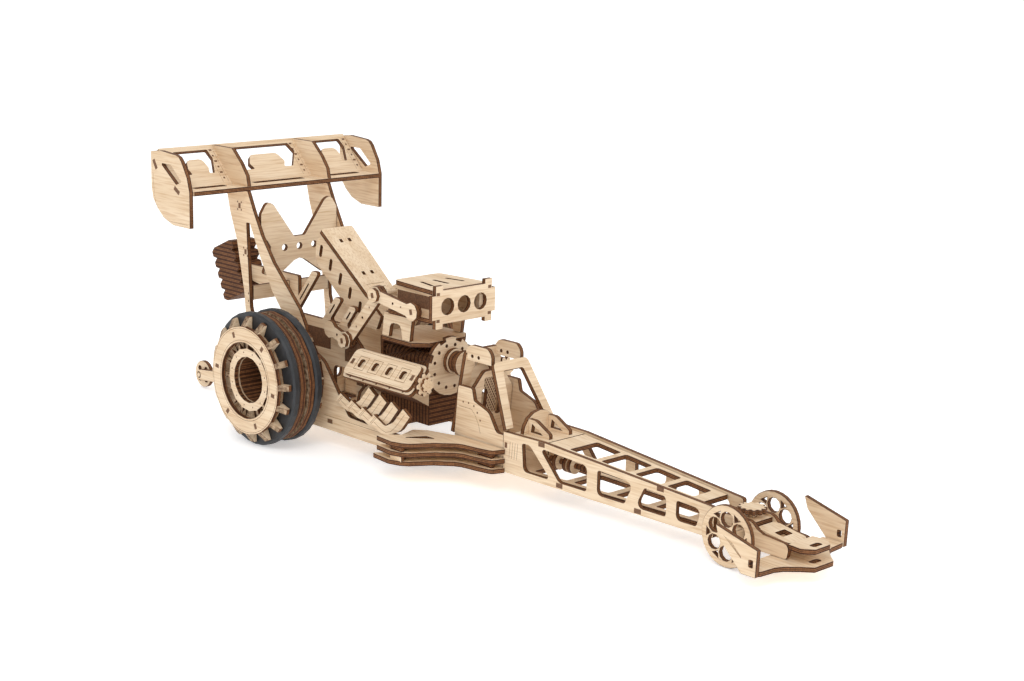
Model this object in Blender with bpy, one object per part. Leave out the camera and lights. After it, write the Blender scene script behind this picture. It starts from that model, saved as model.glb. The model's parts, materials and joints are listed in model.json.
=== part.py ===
"""A top-fuel dragster as a mechanical model kit of laser-cut plywood, at the model's own size.

Metres, +X towards the nose, +Y towards the car's left, +Z up. Nearly every piece is a flat plate
of one ply thickness, so most pieces are an outline with windows, pushed out by one ply.
Distances along X are first counted from the rear axle, then the origin is moved to the middle of
the footprint.
"""
import math

import bmesh
import bpy
from mathutils import Matrix, Vector
from mathutils.geometry import delaunay_2d_cdt

# Stock and fits
PLY = 0.0030
GAP = 0.0003
TAB = 0.0060
AXLE_RADIUS = 0.0030
RUNNING = 0.0006
OVERLAP = 0.0006
EDGE = 0.0040

# Corner radii
R_TINY = 0.0008
R_SMALL = 0.0016
R_MEDIUM = 0.0035
R_LARGE = 0.0080
R_WIDE = 0.0180

# Facets: one arc step covers this angle, and round pieces have these many sides
ARC_STEP = math.radians(32)
WHEEL_SIDES = 32
SMALL_SIDES = 12
CDT_EPSILON = 0.0000001
HOLE_SIDES = 8

# Rear wheels
REAR_RADIUS = 0.0445
BAND_WIDTH = 0.0056
BAND_INNER = 0.0335
BAND_ROUND = 0.0012
WHEEL_MIDDLE_Y = 0.06325
BAND_SPREAD = 0.0179
FLANGE_RADIUS = 0.0432
FIN_COUNT = 16
FIN_REACH = 0.0071
FIN_RADIUS = 0.0420
FIN_ANGLE = math.radians(5.6)
FIN_HEEL_SHARE = 0.35
RING_OUTER = 0.0360
RING_INNER = 0.0255
HUB_RING_OUTER = 0.0209
HUB_BORE = 0.0154
HUB_FLOOR = 0.0040

# Front wheels, steering and nose
FRONT_RADIUS = 0.0178
FRONT_OUTER_Y = 0.0218
FRONT_RIM = 0.0021
PETALS = 6
KNOB_RADIUS = 0.0082
KNOB_TEETH = 12
KNOB_TOOTH = 0.0016
KNOB_Z = 0.0278
KINGPIN_RADIUS = 0.0020
AXLE_BEAM_HEIGHT = 0.0060
NOSE_PLATE_OUTER_Y = 0.0403
NOSE_PLATE_Z = (0.0080, 0.0310)
CHEEK_OUTER_Y = 0.0107
CHEEK_Z = (0.0110, 0.0262)

# Rails
X_RAIL = 0.1830
RAIL_LENGTH = 0.1620
RAIL_OUTER_Y = 0.0214
RAIL_TOE = math.radians(2.57)
RAIL_BOTTOM = (0.0134, 0.0108)
RAIL_TOP = (0.0388, 0.0290)
RAIL_SHOULDER = 0.0320
RAIL_BORDER = 0.0040
DECK_SINK = 0.0012

# The axle, nose cheeks and nose plates lie ahead of the rails' front end
RAIL_END_X = X_RAIL + RAIL_LENGTH
AXLE_AHEAD = 0.0154
TIP_AHEAD = 0.0660
NOSE_PLATE_AHEAD = (0.0227, 0.0517)
CHEEK_AHEAD = (-0.0050, 0.0500)
X_FRONT = RAIL_END_X + AXLE_AHEAD
NOSE_TIP_X = RAIL_END_X + TIP_AHEAD
NOSE_PLATE_X = (RAIL_END_X + NOSE_PLATE_AHEAD[0], RAIL_END_X + NOSE_PLATE_AHEAD[1])
CHEEK_X = (RAIL_END_X + CHEEK_AHEAD[0], RAIL_END_X + CHEEK_AHEAD[1])

# Rear body
SIDE_INNER_Y = 0.0363
SIDE_X = (-0.0360, 0.1117)
SIDE_Z = (0.0110, 0.0620)
FLOOR_Z = 0.0135
FLOOR_X = (-0.0340, 0.0640)
BULKHEAD_X = -0.0240
BULKHEAD_TOP_Z = 0.0600

# Side pods
POD_Z = (0.0130, 0.0190, 0.0250)
POD_X = (0.0970, 0.1850)
POD_Y = (0.0215, 0.0640)

# Cockpit
COCKPIT_OUTER_Y = 0.0200
HOOP_REAR_X = (0.1335, 0.1385)
HOOP_FRONT_X = (0.1825, 0.1600)
HOOP_TOP_Z = 0.0810
HOOP_TOP_HALF_Y = 0.0145
ROOF_RISE = 0.0040
HOOP_LEG = 0.0090
HOOP_BAR = 0.0060
SEAT_LEAN = math.radians(6)
SEAT_TOP_Z = 0.0690
CHEEK_TOP_Z = 0.0600

DASH_X = 0.1900
DASH_RADIUS = 0.0140
DASH_FIN = (0.0180, 0.0100)
DASH_FIN_Y = 0.0070

# Engine
ENGINE_X = (0.0590, 0.1072)
ENGINE_HALF_Y = 0.0150
ENGINE_Z = (0.0250, 0.0500)
COVER_X = (0.0540, 0.1220)
COVER_TOP = (0.0270, 0.0670)
COVER_BOTTOM = (0.0420, 0.0505)
FRONT_PLATE_X = 0.1075
FRONT_PLATE_RADIUS = 0.0195
FRONT_PLATE_Z = 0.0630
NOTCH_SHARE = 0.88
PULLEY_X = 0.1125
PULLEY_Z = 0.0670
PULLEY_RADIUS = 0.0084
PULLEY_PLIES = 4
ROTOR_RADIUS = 0.0082
ROTOR_Y = 0.0092
ROTOR_Z = 0.0635
ROTOR_X = (0.0625, 0.1065)
ROTOR_LOBES = 3
ROTOR_TURNS = 0.5
LOBE_SHARE = 0.20
BLOWER_Z = 0.0765
BLOWER_X = (0.0620, 0.1072)
BLOWER_HALF_Y = 0.0240
SCOOP_Z = (0.0950, 0.1165)
SCOOP_X = (0.0765, 0.1190)
SCOOP_HALF_Y = 0.0270
SCOOP_HOLE = 0.0056
SCOOP_HOLE_PITCH = 0.0140

HEADER_PITCH = 0.0131
HEADER_DROP = 0.0018
HEADER_STEP = 0.0016

# Gearbox plates with their leaning fins
GEARBOX_INNER_Y = 0.0190
GEARBOX_X = (-0.0340, 0.0550)
GEARBOX_STEP = (-0.0204, 0.0630)
GEARBOX_TOP_Z = 0.0790
FIN_LEAN = math.radians(38)
FIN_WIDTH = 0.0075
FIN_SLOT = 0.0010

# Rear wing
WING_HALF = 0.0832
WING_PLATE_X = (-0.1033, -0.0583)
WING_PLATE_Z = (0.1373, 0.1863)
WING_FRONT_X = -0.0575
WING_REAR_X = -0.0790
WING_Z = 0.1590
FLAP_FOOT = (-0.0780, 0.1600)
FLAP_TOP = (-0.1015, 0.1845)
RIB_OUTER_Y = 0.0361

# Struts and brace
STRUT_OUTER_Y = 0.0360
STRUT_Z = (0.0300, 0.1587)
BRACE_X = -0.0505
BRACE_Z = (0.0985, 0.1520)
BRACE_HOLE_Z = 0.1190
BRACE_HOLE_PITCH = 0.0127
BRACE_HOLE = 0.0024

# Lever and links
LEVER_TOP = (-0.0085, 0.1350)
LEVER_FOOT = (0.0560, 0.0850)
LEVER_HALF_Y = 0.0135
LEVER_FOOT_HALF_Y = 0.0115
LEVER_DEPTH = 0.0200
LINK_INNER_Y = 0.0243
LINK_SHAFT = 0.0020
LEVER_EAR = 0.0052
LINK_HEAD = 0.0060
LINK_WAIST = 0.0042

# Wheelie bar and parachute
WHEELIE_X = -0.1455
WHEELIE_RADIUS = 0.0098
WHEELIE_Z = 0.0105
WHEELIE_ARM_Y = 0.0180
PACK_X = (-0.1290, -0.1090)
PACK_Z = (0.0760, 0.1160)
PACK_HALF_Y = 0.0105
PACK_LEAN = math.radians(24)
ARM_X = (-0.0600, -0.0470)
ARM_Z = (0.0800, 0.0980)
ARM_TAIL_Z = 0.0860
BAR_Z = (0.0830, 0.0930)
WHEELIE_KNEE_X = -0.0600
WHEELIE_KNEE_Z = (0.0150, 0.0240)
WHEELIE_ROOT_Z = 0.0260
TIE_X = -0.0700
TIE_Z = (0.0160, 0.0225)

# The origin lies under the middle of the box: halfway from wheelie wheels to nose tip
SHIFT_X = -(NOSE_TIP_X + WHEELIE_X - WHEELIE_RADIUS) / 2

SIDES = (("right", -1), ("left", 1))
X_AXIS = Vector((1, 0, 0))
Y_AXIS = Vector((0, 1, 0))
Z_AXIS = Vector((0, 0, 1))


def clear_scene():
    for obj in list(bpy.data.objects):
        bpy.data.objects.remove(obj)


def make_material(name, colour, roughness):
    material = bpy.data.materials.new(name)
    material.use_nodes = True
    shader = material.node_tree.nodes["Principled BSDF"]
    shader.inputs["Base Color"].default_value = (*colour, 1)
    shader.inputs["Roughness"].default_value = roughness
    shader.inputs["Metallic"].default_value = 0
    material.diffuse_color = (*colour, 1)
    return material


# Flat outlines, as lists of (along, up) points

def at_shares(box_u, box_v, shares):
    """Scale a table of (share along, share up) rows to a box; a third column is a corner radius."""
    points = []
    for row in shares:
        u = box_u[0] + row[0] * (box_u[1] - box_u[0])
        v = box_v[0] + row[1] * (box_v[1] - box_v[0])
        points.append((u, v, row[2] if len(row) > 2 else 0))
    return rounded(points)


def rounded(points):
    """Round each corner of a closed outline by the radius in its third column."""
    result = []
    count = len(points)
    for i, (u, v, radius) in enumerate(points):
        here = Vector((u, v))
        before = Vector(points[i - 1][:2]) - here
        after = Vector(points[(i + 1) % count][:2]) - here
        turn = before.angle(after, math.pi)
        if radius == 0 or turn > math.radians(178):
            result.append((u, v))
            continue
        reach = min(radius / math.tan(turn / 2), before.length * 0.45, after.length * 0.45)
        radius = reach * math.tan(turn / 2)
        middle = here + (before.normalized() + after.normalized()).normalized() * radius / math.sin(turn / 2)
        start = here + before.normalized() * reach - middle
        sweep = math.pi - turn
        steps = max(1, round(sweep / ARC_STEP))
        sign = 1 if before.cross(after) < 0 else -1
        for k in range(steps + 1):
            angle = sign * sweep * k / steps
            arm = Matrix.Rotation(angle, 2) @ start
            result.append((middle.x + arm.x, middle.y + arm.y))
    return result


def disc(u, v, radius, sides=HOLE_SIDES):
    return [(u + radius * math.cos(math.tau * k / sides), v + radius * math.sin(math.tau * k / sides))
            for k in range(sides)]


def rectangle(u, v, width, height, radius=0, angle=0):
    half_w = width / 2
    half_h = height / 2
    turn = Matrix.Rotation(angle, 2)
    corners = []
    for side_u, side_v in ((-1, -1), (1, -1), (1, 1), (-1, 1)):
        arm = turn @ Vector((side_u * half_w, side_v * half_h))
        corners.append((u + arm.x, v + arm.y, radius))
    return rounded(corners)


def arc(u, v, radius, start, end, steps):
    return [(u + radius * math.cos(start + (end - start) * k / steps),
             v + radius * math.sin(start + (end - start) * k / steps)) for k in range(steps + 1)]


def signed_area(points):
    total = 0
    for i, point in enumerate(points):
        previous = points[i - 1]
        total += previous[0] * point[1] - point[0] * previous[1]
    return total / 2


# Solids

def to_object(name, bm, material):
    if bm.calc_volume(signed=True) < 0:
        bmesh.ops.reverse_faces(bm, faces=bm.faces)
    mesh = bpy.data.meshes.new(name)
    bm.to_mesh(mesh)
    bm.free()
    mesh.transform(Matrix.Translation((SHIFT_X, 0, 0)))
    obj = bpy.data.objects.new(name, mesh)
    bpy.context.scene.collection.objects.link(obj)
    mesh.materials.append(material)
    return obj


def inside(point, loop):
    """Whether a point lies within a closed loop, by counting crossings."""
    found = False
    for i, (u, v) in enumerate(loop):
        before_u, before_v = loop[i - 1]
        if (v > point[1]) != (before_v > point[1]):
            if point[0] < (before_u - u) * (point[1] - v) / (before_v - v) + u:
                found = not found
    return found


def filled_triangles(loops):
    """Triangles between an outline and its holes, as counter-clockwise index triples."""
    flat = [Vector(point) for loop in loops for point in loop]
    edges = []
    start = 0
    for loop in loops:
        count = len(loop)
        edges += [(start + k, start + (k + 1) % count) for k in range(count)]
        start += count
    result = delaunay_2d_cdt(flat, edges, [], 0, CDT_EPSILON)
    sources = [origin[0] for origin in result[3]]
    triangles = []
    for face in result[2]:
        corners = [sources[i] for i in face]
        middle = sum((flat[i] for i in corners), Vector((0, 0))) / len(corners)
        if not inside(middle, loops[0]) or any(inside(middle, hole) for hole in loops[1:]):
            continue
        turn = signed_area([flat[i] for i in corners])
        triangles.append(corners if turn > 0 else corners[::-1])
    return triangles


def plate(name, outline, holes, origin, along, up, material, thickness=PLY):
    """Push an outline with holes out by one ply, along the normal (along x up)."""
    along = along.normalized()
    up = up.normalized()
    normal = along.cross(up)
    loops = [outline if signed_area(outline) > 0 else outline[::-1]]
    loops += [hole if signed_area(hole) < 0 else hole[::-1] for hole in holes]
    flat = [point for loop in loops for point in loop]
    bm = bmesh.new()
    layers = []
    for level in (0, thickness):
        layers.append([bm.verts.new(origin + along * u + up * v + normal * level) for u, v in flat])
    for triangle in filled_triangles(loops):
        bm.faces.new([layers[1][i] for i in triangle])
        bm.faces.new([layers[0][i] for i in reversed(triangle)])
    start = 0
    for loop in loops:
        count = len(loop)
        for k in range(count):
            a = start + k
            b = start + (k + 1) % count
            bm.faces.new((layers[0][a], layers[0][b], layers[1][b], layers[1][a]))
        start += count
    return to_object(name, bm, material)


def upright(name, outline, holes, side, inner_y, material, thickness=PLY, toe=0, x=0):
    """A plate in the XZ plane on one side of the car; inner_y is its face nearer the middle."""
    along = Vector((math.cos(toe), -side * math.sin(toe), 0))
    normal = along.cross(Z_AXIS)
    origin = Vector((x, side * inner_y, 0))
    if side > 0:
        origin -= normal * thickness
    return plate(name, outline, holes, origin, along, Z_AXIS, material, thickness)


def level(name, outline, holes, z, material, thickness=PLY):
    """A plate in the XY plane whose lower face is at z."""
    return plate(name, outline, holes, Vector((0, 0, z)), X_AXIS, Y_AXIS, material, thickness)


def across(name, outline, holes, x, material, thickness=PLY, lean=0, foot=0):
    """A plate in the YZ plane with its rear face at x; it may lean about the line z = foot."""
    up = Vector((math.sin(lean), 0, math.cos(lean)))
    origin = Vector((x, 0, foot)) - up * foot
    return plate(name, outline, holes, origin, Y_AXIS, up, material, thickness)


def lathe(name, profile, centre, axis, material, sides=WHEEL_SIDES):
    """Turn a closed (radius, along) profile about an axis through the centre."""
    axis = axis.normalized()
    side_axis = axis.orthogonal().normalized() if abs(axis.y) < 0.9 else Vector((0, 0, -1))
    other = axis.cross(side_axis)
    if signed_area(profile) < 0:
        profile = profile[::-1]
    bm = bmesh.new()
    rings = []
    for k in range(sides):
        angle = math.tau * k / sides
        arm = side_axis * math.cos(angle) + other * math.sin(angle)
        rings.append([None if r == 0 else bm.verts.new(centre + arm * r + axis * h) for r, h in profile])
    poles = [bm.verts.new(centre + axis * h) if r == 0 else None for r, h in profile]
    count = len(profile)
    for k in range(sides):
        near = rings[k]
        far = rings[(k + 1) % sides]
        for i in range(count):
            j = (i + 1) % count
            corners = [near[i] or poles[i], far[i] or poles[i], far[j] or poles[j], near[j] or poles[j]]
            unique = [c for n, c in enumerate(corners) if c not in corners[:n]]
            if len(unique) > 2:
                bm.faces.new(unique)
    bmesh.ops.recalc_face_normals(bm, faces=bm.faces)
    obj = to_object(name, bm, material)
    obj.data.shade_smooth()
    obj.data.set_sharp_from_angle(angle=math.radians(35))
    return obj


def washer(name, outer, inner, centre, axis, length, material, sides=WHEEL_SIDES):
    return lathe(name, [(inner, 0), (outer, 0), (outer, length), (inner, length)], centre, axis,
                 material, sides)


def rod(name, radius, centre, axis, length, material, sides=SMALL_SIDES):
    return lathe(name, [(0, 0), (radius, 0), (radius, length), (0, length)], centre, axis, material, sides)


def fuse(name, pieces):
    """Join overlapping solids into one closed body."""
    base = pieces[0]
    for other in pieces[1:]:
        join = base.modifiers.new("join", "BOOLEAN")
        join.operation = "UNION"
        join.solver = "EXACT"
        join.object = other
    bpy.context.view_layer.update()
    depsgraph = bpy.context.evaluated_depsgraph_get()
    mesh = bpy.data.meshes.new_from_object(base.evaluated_get(depsgraph))
    base.modifiers.clear()
    base.data = mesh
    base.name = name
    for other in pieces[1:]:
        bpy.data.objects.remove(other)
    return base


def mirrored(outline):
    return [(-u, v) for u, v in reversed(outline)]


def symmetric(half):
    """Close a half outline given for u >= 0, from bottom to top, by its mirror image."""
    return list(half) + [(-u, v) for u, v in reversed(half) if u > 0]


# Rear wheels

def sector_body(name, blocks, angles, centre, axis, material, moved):
    """A wheel of sectors: each block is (r0, r1, h0, h1, fins only), and even sectors are fins."""
    radii = sorted({round(r, 6) for block in blocks for r in block[:2]})
    levels = sorted({round(h, 6) for block in blocks for h in block[2:4]})
    count = len(angles)
    filled = set()
    for r0, r1, h0, h1, fins_only in blocks:
        for i, r in enumerate(radii[:-1]):
            for j, h in enumerate(levels[:-1]):
                if round(r0, 6) <= r < round(r1, 6) and round(h0, 6) <= h < round(h1, 6):
                    filled |= {(i, j, k) for k in range(count) if k % 2 == 0 or not fins_only}
    side_axis = Vector((0, 0, 1))
    other = axis.cross(side_axis)
    bm = bmesh.new()
    known = {}

    def vertex(i, j, k):
        r = radii[i]
        key = (i, j, 0 if r == 0 else k % count)
        if key not in known:
            r, h = moved.get((r, levels[j]), (r, levels[j]))
            arm = side_axis * math.cos(angles[k % count]) + other * math.sin(angles[k % count])
            known[key] = bm.verts.new(centre + arm * r + axis * h)
        return known[key]

    def face(corners):
        unique = [c for n, c in enumerate(corners) if c not in corners[:n]]
        if len(unique) > 2:
            bm.faces.new(unique)

    for i, j, k in sorted(filled):
        near = [vertex(i, j, k), vertex(i + 1, j, k), vertex(i + 1, j + 1, k), vertex(i, j + 1, k)]
        far = [vertex(i, j, k + 1), vertex(i + 1, j, k + 1), vertex(i + 1, j + 1, k + 1), vertex(i, j + 1, k + 1)]
        if (i, j, (k - 1) % count) not in filled:
            face(near)
        if (i, j, (k + 1) % count) not in filled:
            face(far[::-1])
        for n, (di, dj) in enumerate(((0, -1), (1, 0), (0, 1), (-1, 0))):
            if (i + di, j + dj, k) not in filled:
                m = (n + 1) % 4
                face([near[n], far[n], far[m], near[m]])
    bmesh.ops.recalc_face_normals(bm, faces=bm.faces)
    bmesh.ops.dissolve_limit(bm, angle_limit=math.radians(0.5), verts=bm.verts, edges=bm.edges,
                             delimit={"NORMAL"})
    obj = to_object(name, bm, material)
    obj.data.shade_smooth()
    obj.data.set_sharp_from_angle(angle=math.radians(30))
    return obj


def build_rear_wheel(side_name, side, wood, rubber):
    out = Y_AXIS * side
    middle = Vector((0, 0, REAR_RADIUS)) + out * WHEEL_MIDDLE_Y
    band_half = BAND_WIDTH / 2
    spread_half = BAND_SPREAD / 2
    core = BAND_INNER - GAP
    end = spread_half + band_half
    shelf = spread_half - band_half - GAP
    top = end + FIN_REACH
    groove = PLY / 2
    # Drum with two flanges between the bands, closed by a floor on its inner side
    blocks = [(HUB_BORE, core, -end, end, False), (core, FLANGE_RADIUS, groove, shelf, False),
              (core, FLANGE_RADIUS, -shelf, -groove, False), (0, HUB_BORE, -end, HUB_FLOOR - end, False)]
    moved = {}
    for sign in (-1, 1):
        # Fins stand on the drum and carry a wide ring and, one ply lower, a hub ring
        for r0, r1, low, high, fins_only in (
                (HUB_RING_OUTER, core, end, top - PLY, True), (core, RING_OUTER, end + GAP, top - PLY, True),
                (RING_OUTER, FIN_RADIUS, end + GAP, top, True), (RING_INNER, RING_OUTER, top - PLY, top, False),
                (HUB_BORE, HUB_RING_OUTER, top - 2 * PLY, top - PLY, False)):
            low, high = sorted((sign * low, sign * high))
            blocks.append((r0, r1, low, high, fins_only))
        moved[(round(FIN_RADIUS, 6), round(sign * top, 6))] = (FIN_RADIUS, sign * (end + FIN_REACH * FIN_HEEL_SHARE))
    angles = []
    for k in range(FIN_COUNT):
        angles += [math.tau * k / FIN_COUNT, math.tau * k / FIN_COUNT + FIN_ANGLE]
    sector_body("rear_wheel_" + side_name, blocks, angles, middle, out, wood, moved)
    for label, offset in (("inner", -spread_half), ("outer", spread_half)):
        start = middle + out * (offset - band_half)
        inner = BAND_INNER
        outer = REAR_RADIUS
        band = [(inner, 0), (outer - BAND_ROUND, 0), (outer, BAND_ROUND), (outer, BAND_WIDTH - BAND_ROUND),
                (outer - BAND_ROUND, BAND_WIDTH), (inner, BAND_WIDTH)]
        lathe("rear_band_" + label + "_" + side_name, band, start, out, rubber)


def build_rear_axle(wood):
    length = 2 * (WHEEL_MIDDLE_Y - BAND_SPREAD / 2 - BAND_WIDTH / 2 - GAP)
    start = Vector((0, -length / 2, REAR_RADIUS))
    rod("rear_axle", AXLE_RADIUS, start, Y_AXIS, length, wood)


# Front wheels and steering

def build_front_wheel(side_name, side, wood):
    centre = Vector((X_FRONT, 0, FRONT_RADIUS))
    rim = FRONT_RADIUS - FRONT_RIM
    petal_ring = rim * 0.62
    petal = rim * 0.27
    holes = []
    for k in range(PETALS):
        angle = math.tau * (k + 0.5) / PETALS
        holes.append(disc(petal_ring * math.cos(angle), petal_ring * math.sin(angle), petal, HOLE_SIDES + 2))
    for k in range(PETALS):
        angle = math.tau * k / PETALS
        reach = rim * 0.90
        holes.append([(reach * math.cos(angle + turn), reach * math.sin(angle + turn)) for turn in (-0.16, 0.16)]
                     + [(rim * 0.70 * math.cos(angle), rim * 0.70 * math.sin(angle))])
    holes.append(disc(0, 0, KINGPIN_RADIUS + RUNNING, HOLE_SIDES))
    outline = disc(0, 0, FRONT_RADIUS, WHEEL_SIDES - 4)
    origin = centre + Y_AXIS * side * (FRONT_OUTER_Y - PLY)
    if side > 0:
        origin += Y_AXIS * PLY
    plate("front_wheel_" + side_name, outline, holes, origin, X_AXIS, Z_AXIS, wood)


def build_steering(wood):
    """The axle beam turns about the kingpin; the toothed knob above turns it."""
    inner_y = FRONT_OUTER_Y - PLY - GAP
    half_beam = AXLE_BEAM_HEIGHT / 2
    beam = [(-half_beam, FRONT_RADIUS - half_beam), (half_beam, FRONT_RADIUS - half_beam),
            (half_beam, FRONT_RADIUS + half_beam), (-half_beam, FRONT_RADIUS + half_beam)]
    body = plate("beam", beam, [], Vector((X_FRONT, inner_y, 0)), X_AXIS, Z_AXIS, wood, 2 * inner_y)
    pin_half = FRONT_OUTER_Y + GAP
    pin = rod("pin", KINGPIN_RADIUS, Vector((X_FRONT, -pin_half, FRONT_RADIUS)), Y_AXIS, 2 * pin_half, wood,
              HOLE_SIDES)
    post = rod("post", KINGPIN_RADIUS, Vector((X_FRONT, 0, FRONT_RADIUS)), Z_AXIS,
               KNOB_Z + PLY - FRONT_RADIUS, wood, HOLE_SIDES)
    outline = []
    for k in range(KNOB_TEETH):
        for share, radius in ((0.08, KNOB_RADIUS - KNOB_TOOTH), (0.30, KNOB_RADIUS), (0.70, KNOB_RADIUS),
                              (0.92, KNOB_RADIUS - KNOB_TOOTH)):
            angle = math.tau * (k + share) / KNOB_TEETH
            outline.append((X_FRONT + radius * math.cos(angle), radius * math.sin(angle)))
    knob = level("knob", outline, [], KNOB_Z, wood)
    fuse("front_axle", [body, pin, post, knob])


# Rails, decks and nose

RAIL_WINDOW_SHARES = (
    # rear low, rear high, front high, front low, all along the rail
    (0.105, 0.095, 0.135, 0.245),
    (0.285, 0.185, 0.420, 0.420),
    (0.470, 0.470, 0.640, 0.600),
    (0.650, 0.690, 0.790, 0.790),
    (0.835, 0.835, 0.945, 0.925),
)


def rail_top(s):
    if s < RAIL_SHOULDER:
        return RAIL_TOP[0]
    return RAIL_TOP[0] + (RAIL_TOP[1] - RAIL_TOP[0]) * (s - RAIL_SHOULDER) / (RAIL_LENGTH - RAIL_SHOULDER)


def rail_bottom(s):
    return RAIL_BOTTOM[0] + (RAIL_BOTTOM[1] - RAIL_BOTTOM[0]) * s / RAIL_LENGTH


def build_rail(side_name, side, wood):
    outline = rounded([
        (0, rail_bottom(0), 0), (RAIL_LENGTH, rail_bottom(RAIL_LENGTH), R_SMALL),
        (RAIL_LENGTH, rail_top(RAIL_LENGTH), R_SMALL), (RAIL_SHOULDER, rail_top(RAIL_SHOULDER), 0),
        (0, rail_top(0), 0)])
    holes = []
    for low_rear, high_rear, high_front, low_front in RAIL_WINDOW_SHARES:
        s = [share * RAIL_LENGTH for share in (low_rear, low_front, high_front, high_rear)]
        holes.append(rounded([
            (s[0], rail_bottom(s[0]) + RAIL_BORDER, R_MEDIUM), (s[1], rail_bottom(s[1]) + RAIL_BORDER, R_SMALL),
            (s[2], rail_top(s[2]) - RAIL_BORDER, R_MEDIUM), (s[3], rail_top(s[3]) - RAIL_BORDER, R_SMALL)]))
    upright("rail_" + side_name, outline, holes, side, RAIL_OUTER_Y - PLY, wood, toe=RAIL_TOE, x=X_RAIL)


def rail_inner_y(x):
    """The rails' inner face at a distance along X, less the seating gap."""
    return RAIL_OUTER_Y - PLY / math.cos(RAIL_TOE) - (x - X_RAIL) * math.tan(RAIL_TOE) - GAP


def deck_outline(x_rear, x_front):
    rear = rail_inner_y(x_rear)
    front = rail_inner_y(x_front)
    return [(x_rear, -rear), (x_front, -front), (x_front, front), (x_rear, rear)]


DECK_WINDOW_SHARES = (
    # rear and front of each window, along the deck
    (0.13, 0.30),
    (0.34, 0.52),
    (0.56, 0.72),
    (0.76, 0.92),
)


def deck_windows(x_rear, x_front):
    holes = []
    for start, end in DECK_WINDOW_SHARES:
        a = x_rear + start * (x_front - x_rear)
        b = x_rear + end * (x_front - x_rear)
        half_a = rail_inner_y(a) - RAIL_BORDER
        half_b = rail_inner_y(b) - RAIL_BORDER
        holes.append(rounded([(a, -half_a, R_SMALL), (b, -half_b, R_SMALL), (b, half_b, R_SMALL),
                              (a, half_a, R_SMALL)]))
    return holes


def build_decks(wood):
    x_rear = X_RAIL + GAP
    x_front = X_RAIL + RAIL_LENGTH * 0.93
    level("deck_bottom", deck_outline(x_rear, x_front), deck_windows(x_rear, x_front), RAIL_BOTTOM[0] + GAP, wood)
    # The upper deck lies on the slope of the rails' upper edge
    start = X_RAIL + RAIL_SHOULDER
    slope = math.atan2(RAIL_TOP[1] - RAIL_TOP[0], RAIL_LENGTH - RAIL_SHOULDER)
    along = Vector((math.cos(slope), 0, math.sin(slope)))
    origin = Vector((start, 0, RAIL_TOP[0] - PLY - DECK_SINK)) - along * start
    windows = deck_windows(start, x_front)
    plate("deck_top", deck_outline(start, x_front), windows, origin, along, Y_AXIS, wood)
    # The scuttle ahead of the cockpit is level
    inner_x = HOOP_FRONT_X[0] + PLY + GAP * 2
    deck = level("scuttle", deck_outline(inner_x, start - GAP), [], RAIL_TOP[0] - PLY - DECK_SINK, wood)
    fuse("scuttle", [deck] + dash_pieces(wood))


def dash_pieces(wood):
    """A half-round arch with two fins ahead of it, standing on the scuttle."""
    foot_z = RAIL_TOP[0] - DECK_SINK - OVERLAP
    pieces = [across("dash_arch", arc(0, foot_z, DASH_RADIUS, 0, math.pi, 8), [], DASH_X, wood)]
    fin_x = (DASH_X + PLY - OVERLAP, DASH_X + PLY + DASH_FIN[0])
    fin_z = (foot_z, foot_z + DASH_FIN[1])
    for side_name, side in SIDES:
        shares = ((0.0, 0.0, 0), (1.0, 0.0, 0), (1.0, 0.35, R_SMALL), (0.35, 1.0, R_MEDIUM), (0.0, 1.0, 0))
        hole = at_shares(fin_x, fin_z, ((0.15, 0.2, 0), (0.7, 0.2, 0), (0.2, 0.75, 0)))
        pieces.append(upright("dash_fin", at_shares(fin_x, fin_z, shares), [hole], side, DASH_FIN_Y, wood))
    return pieces


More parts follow.
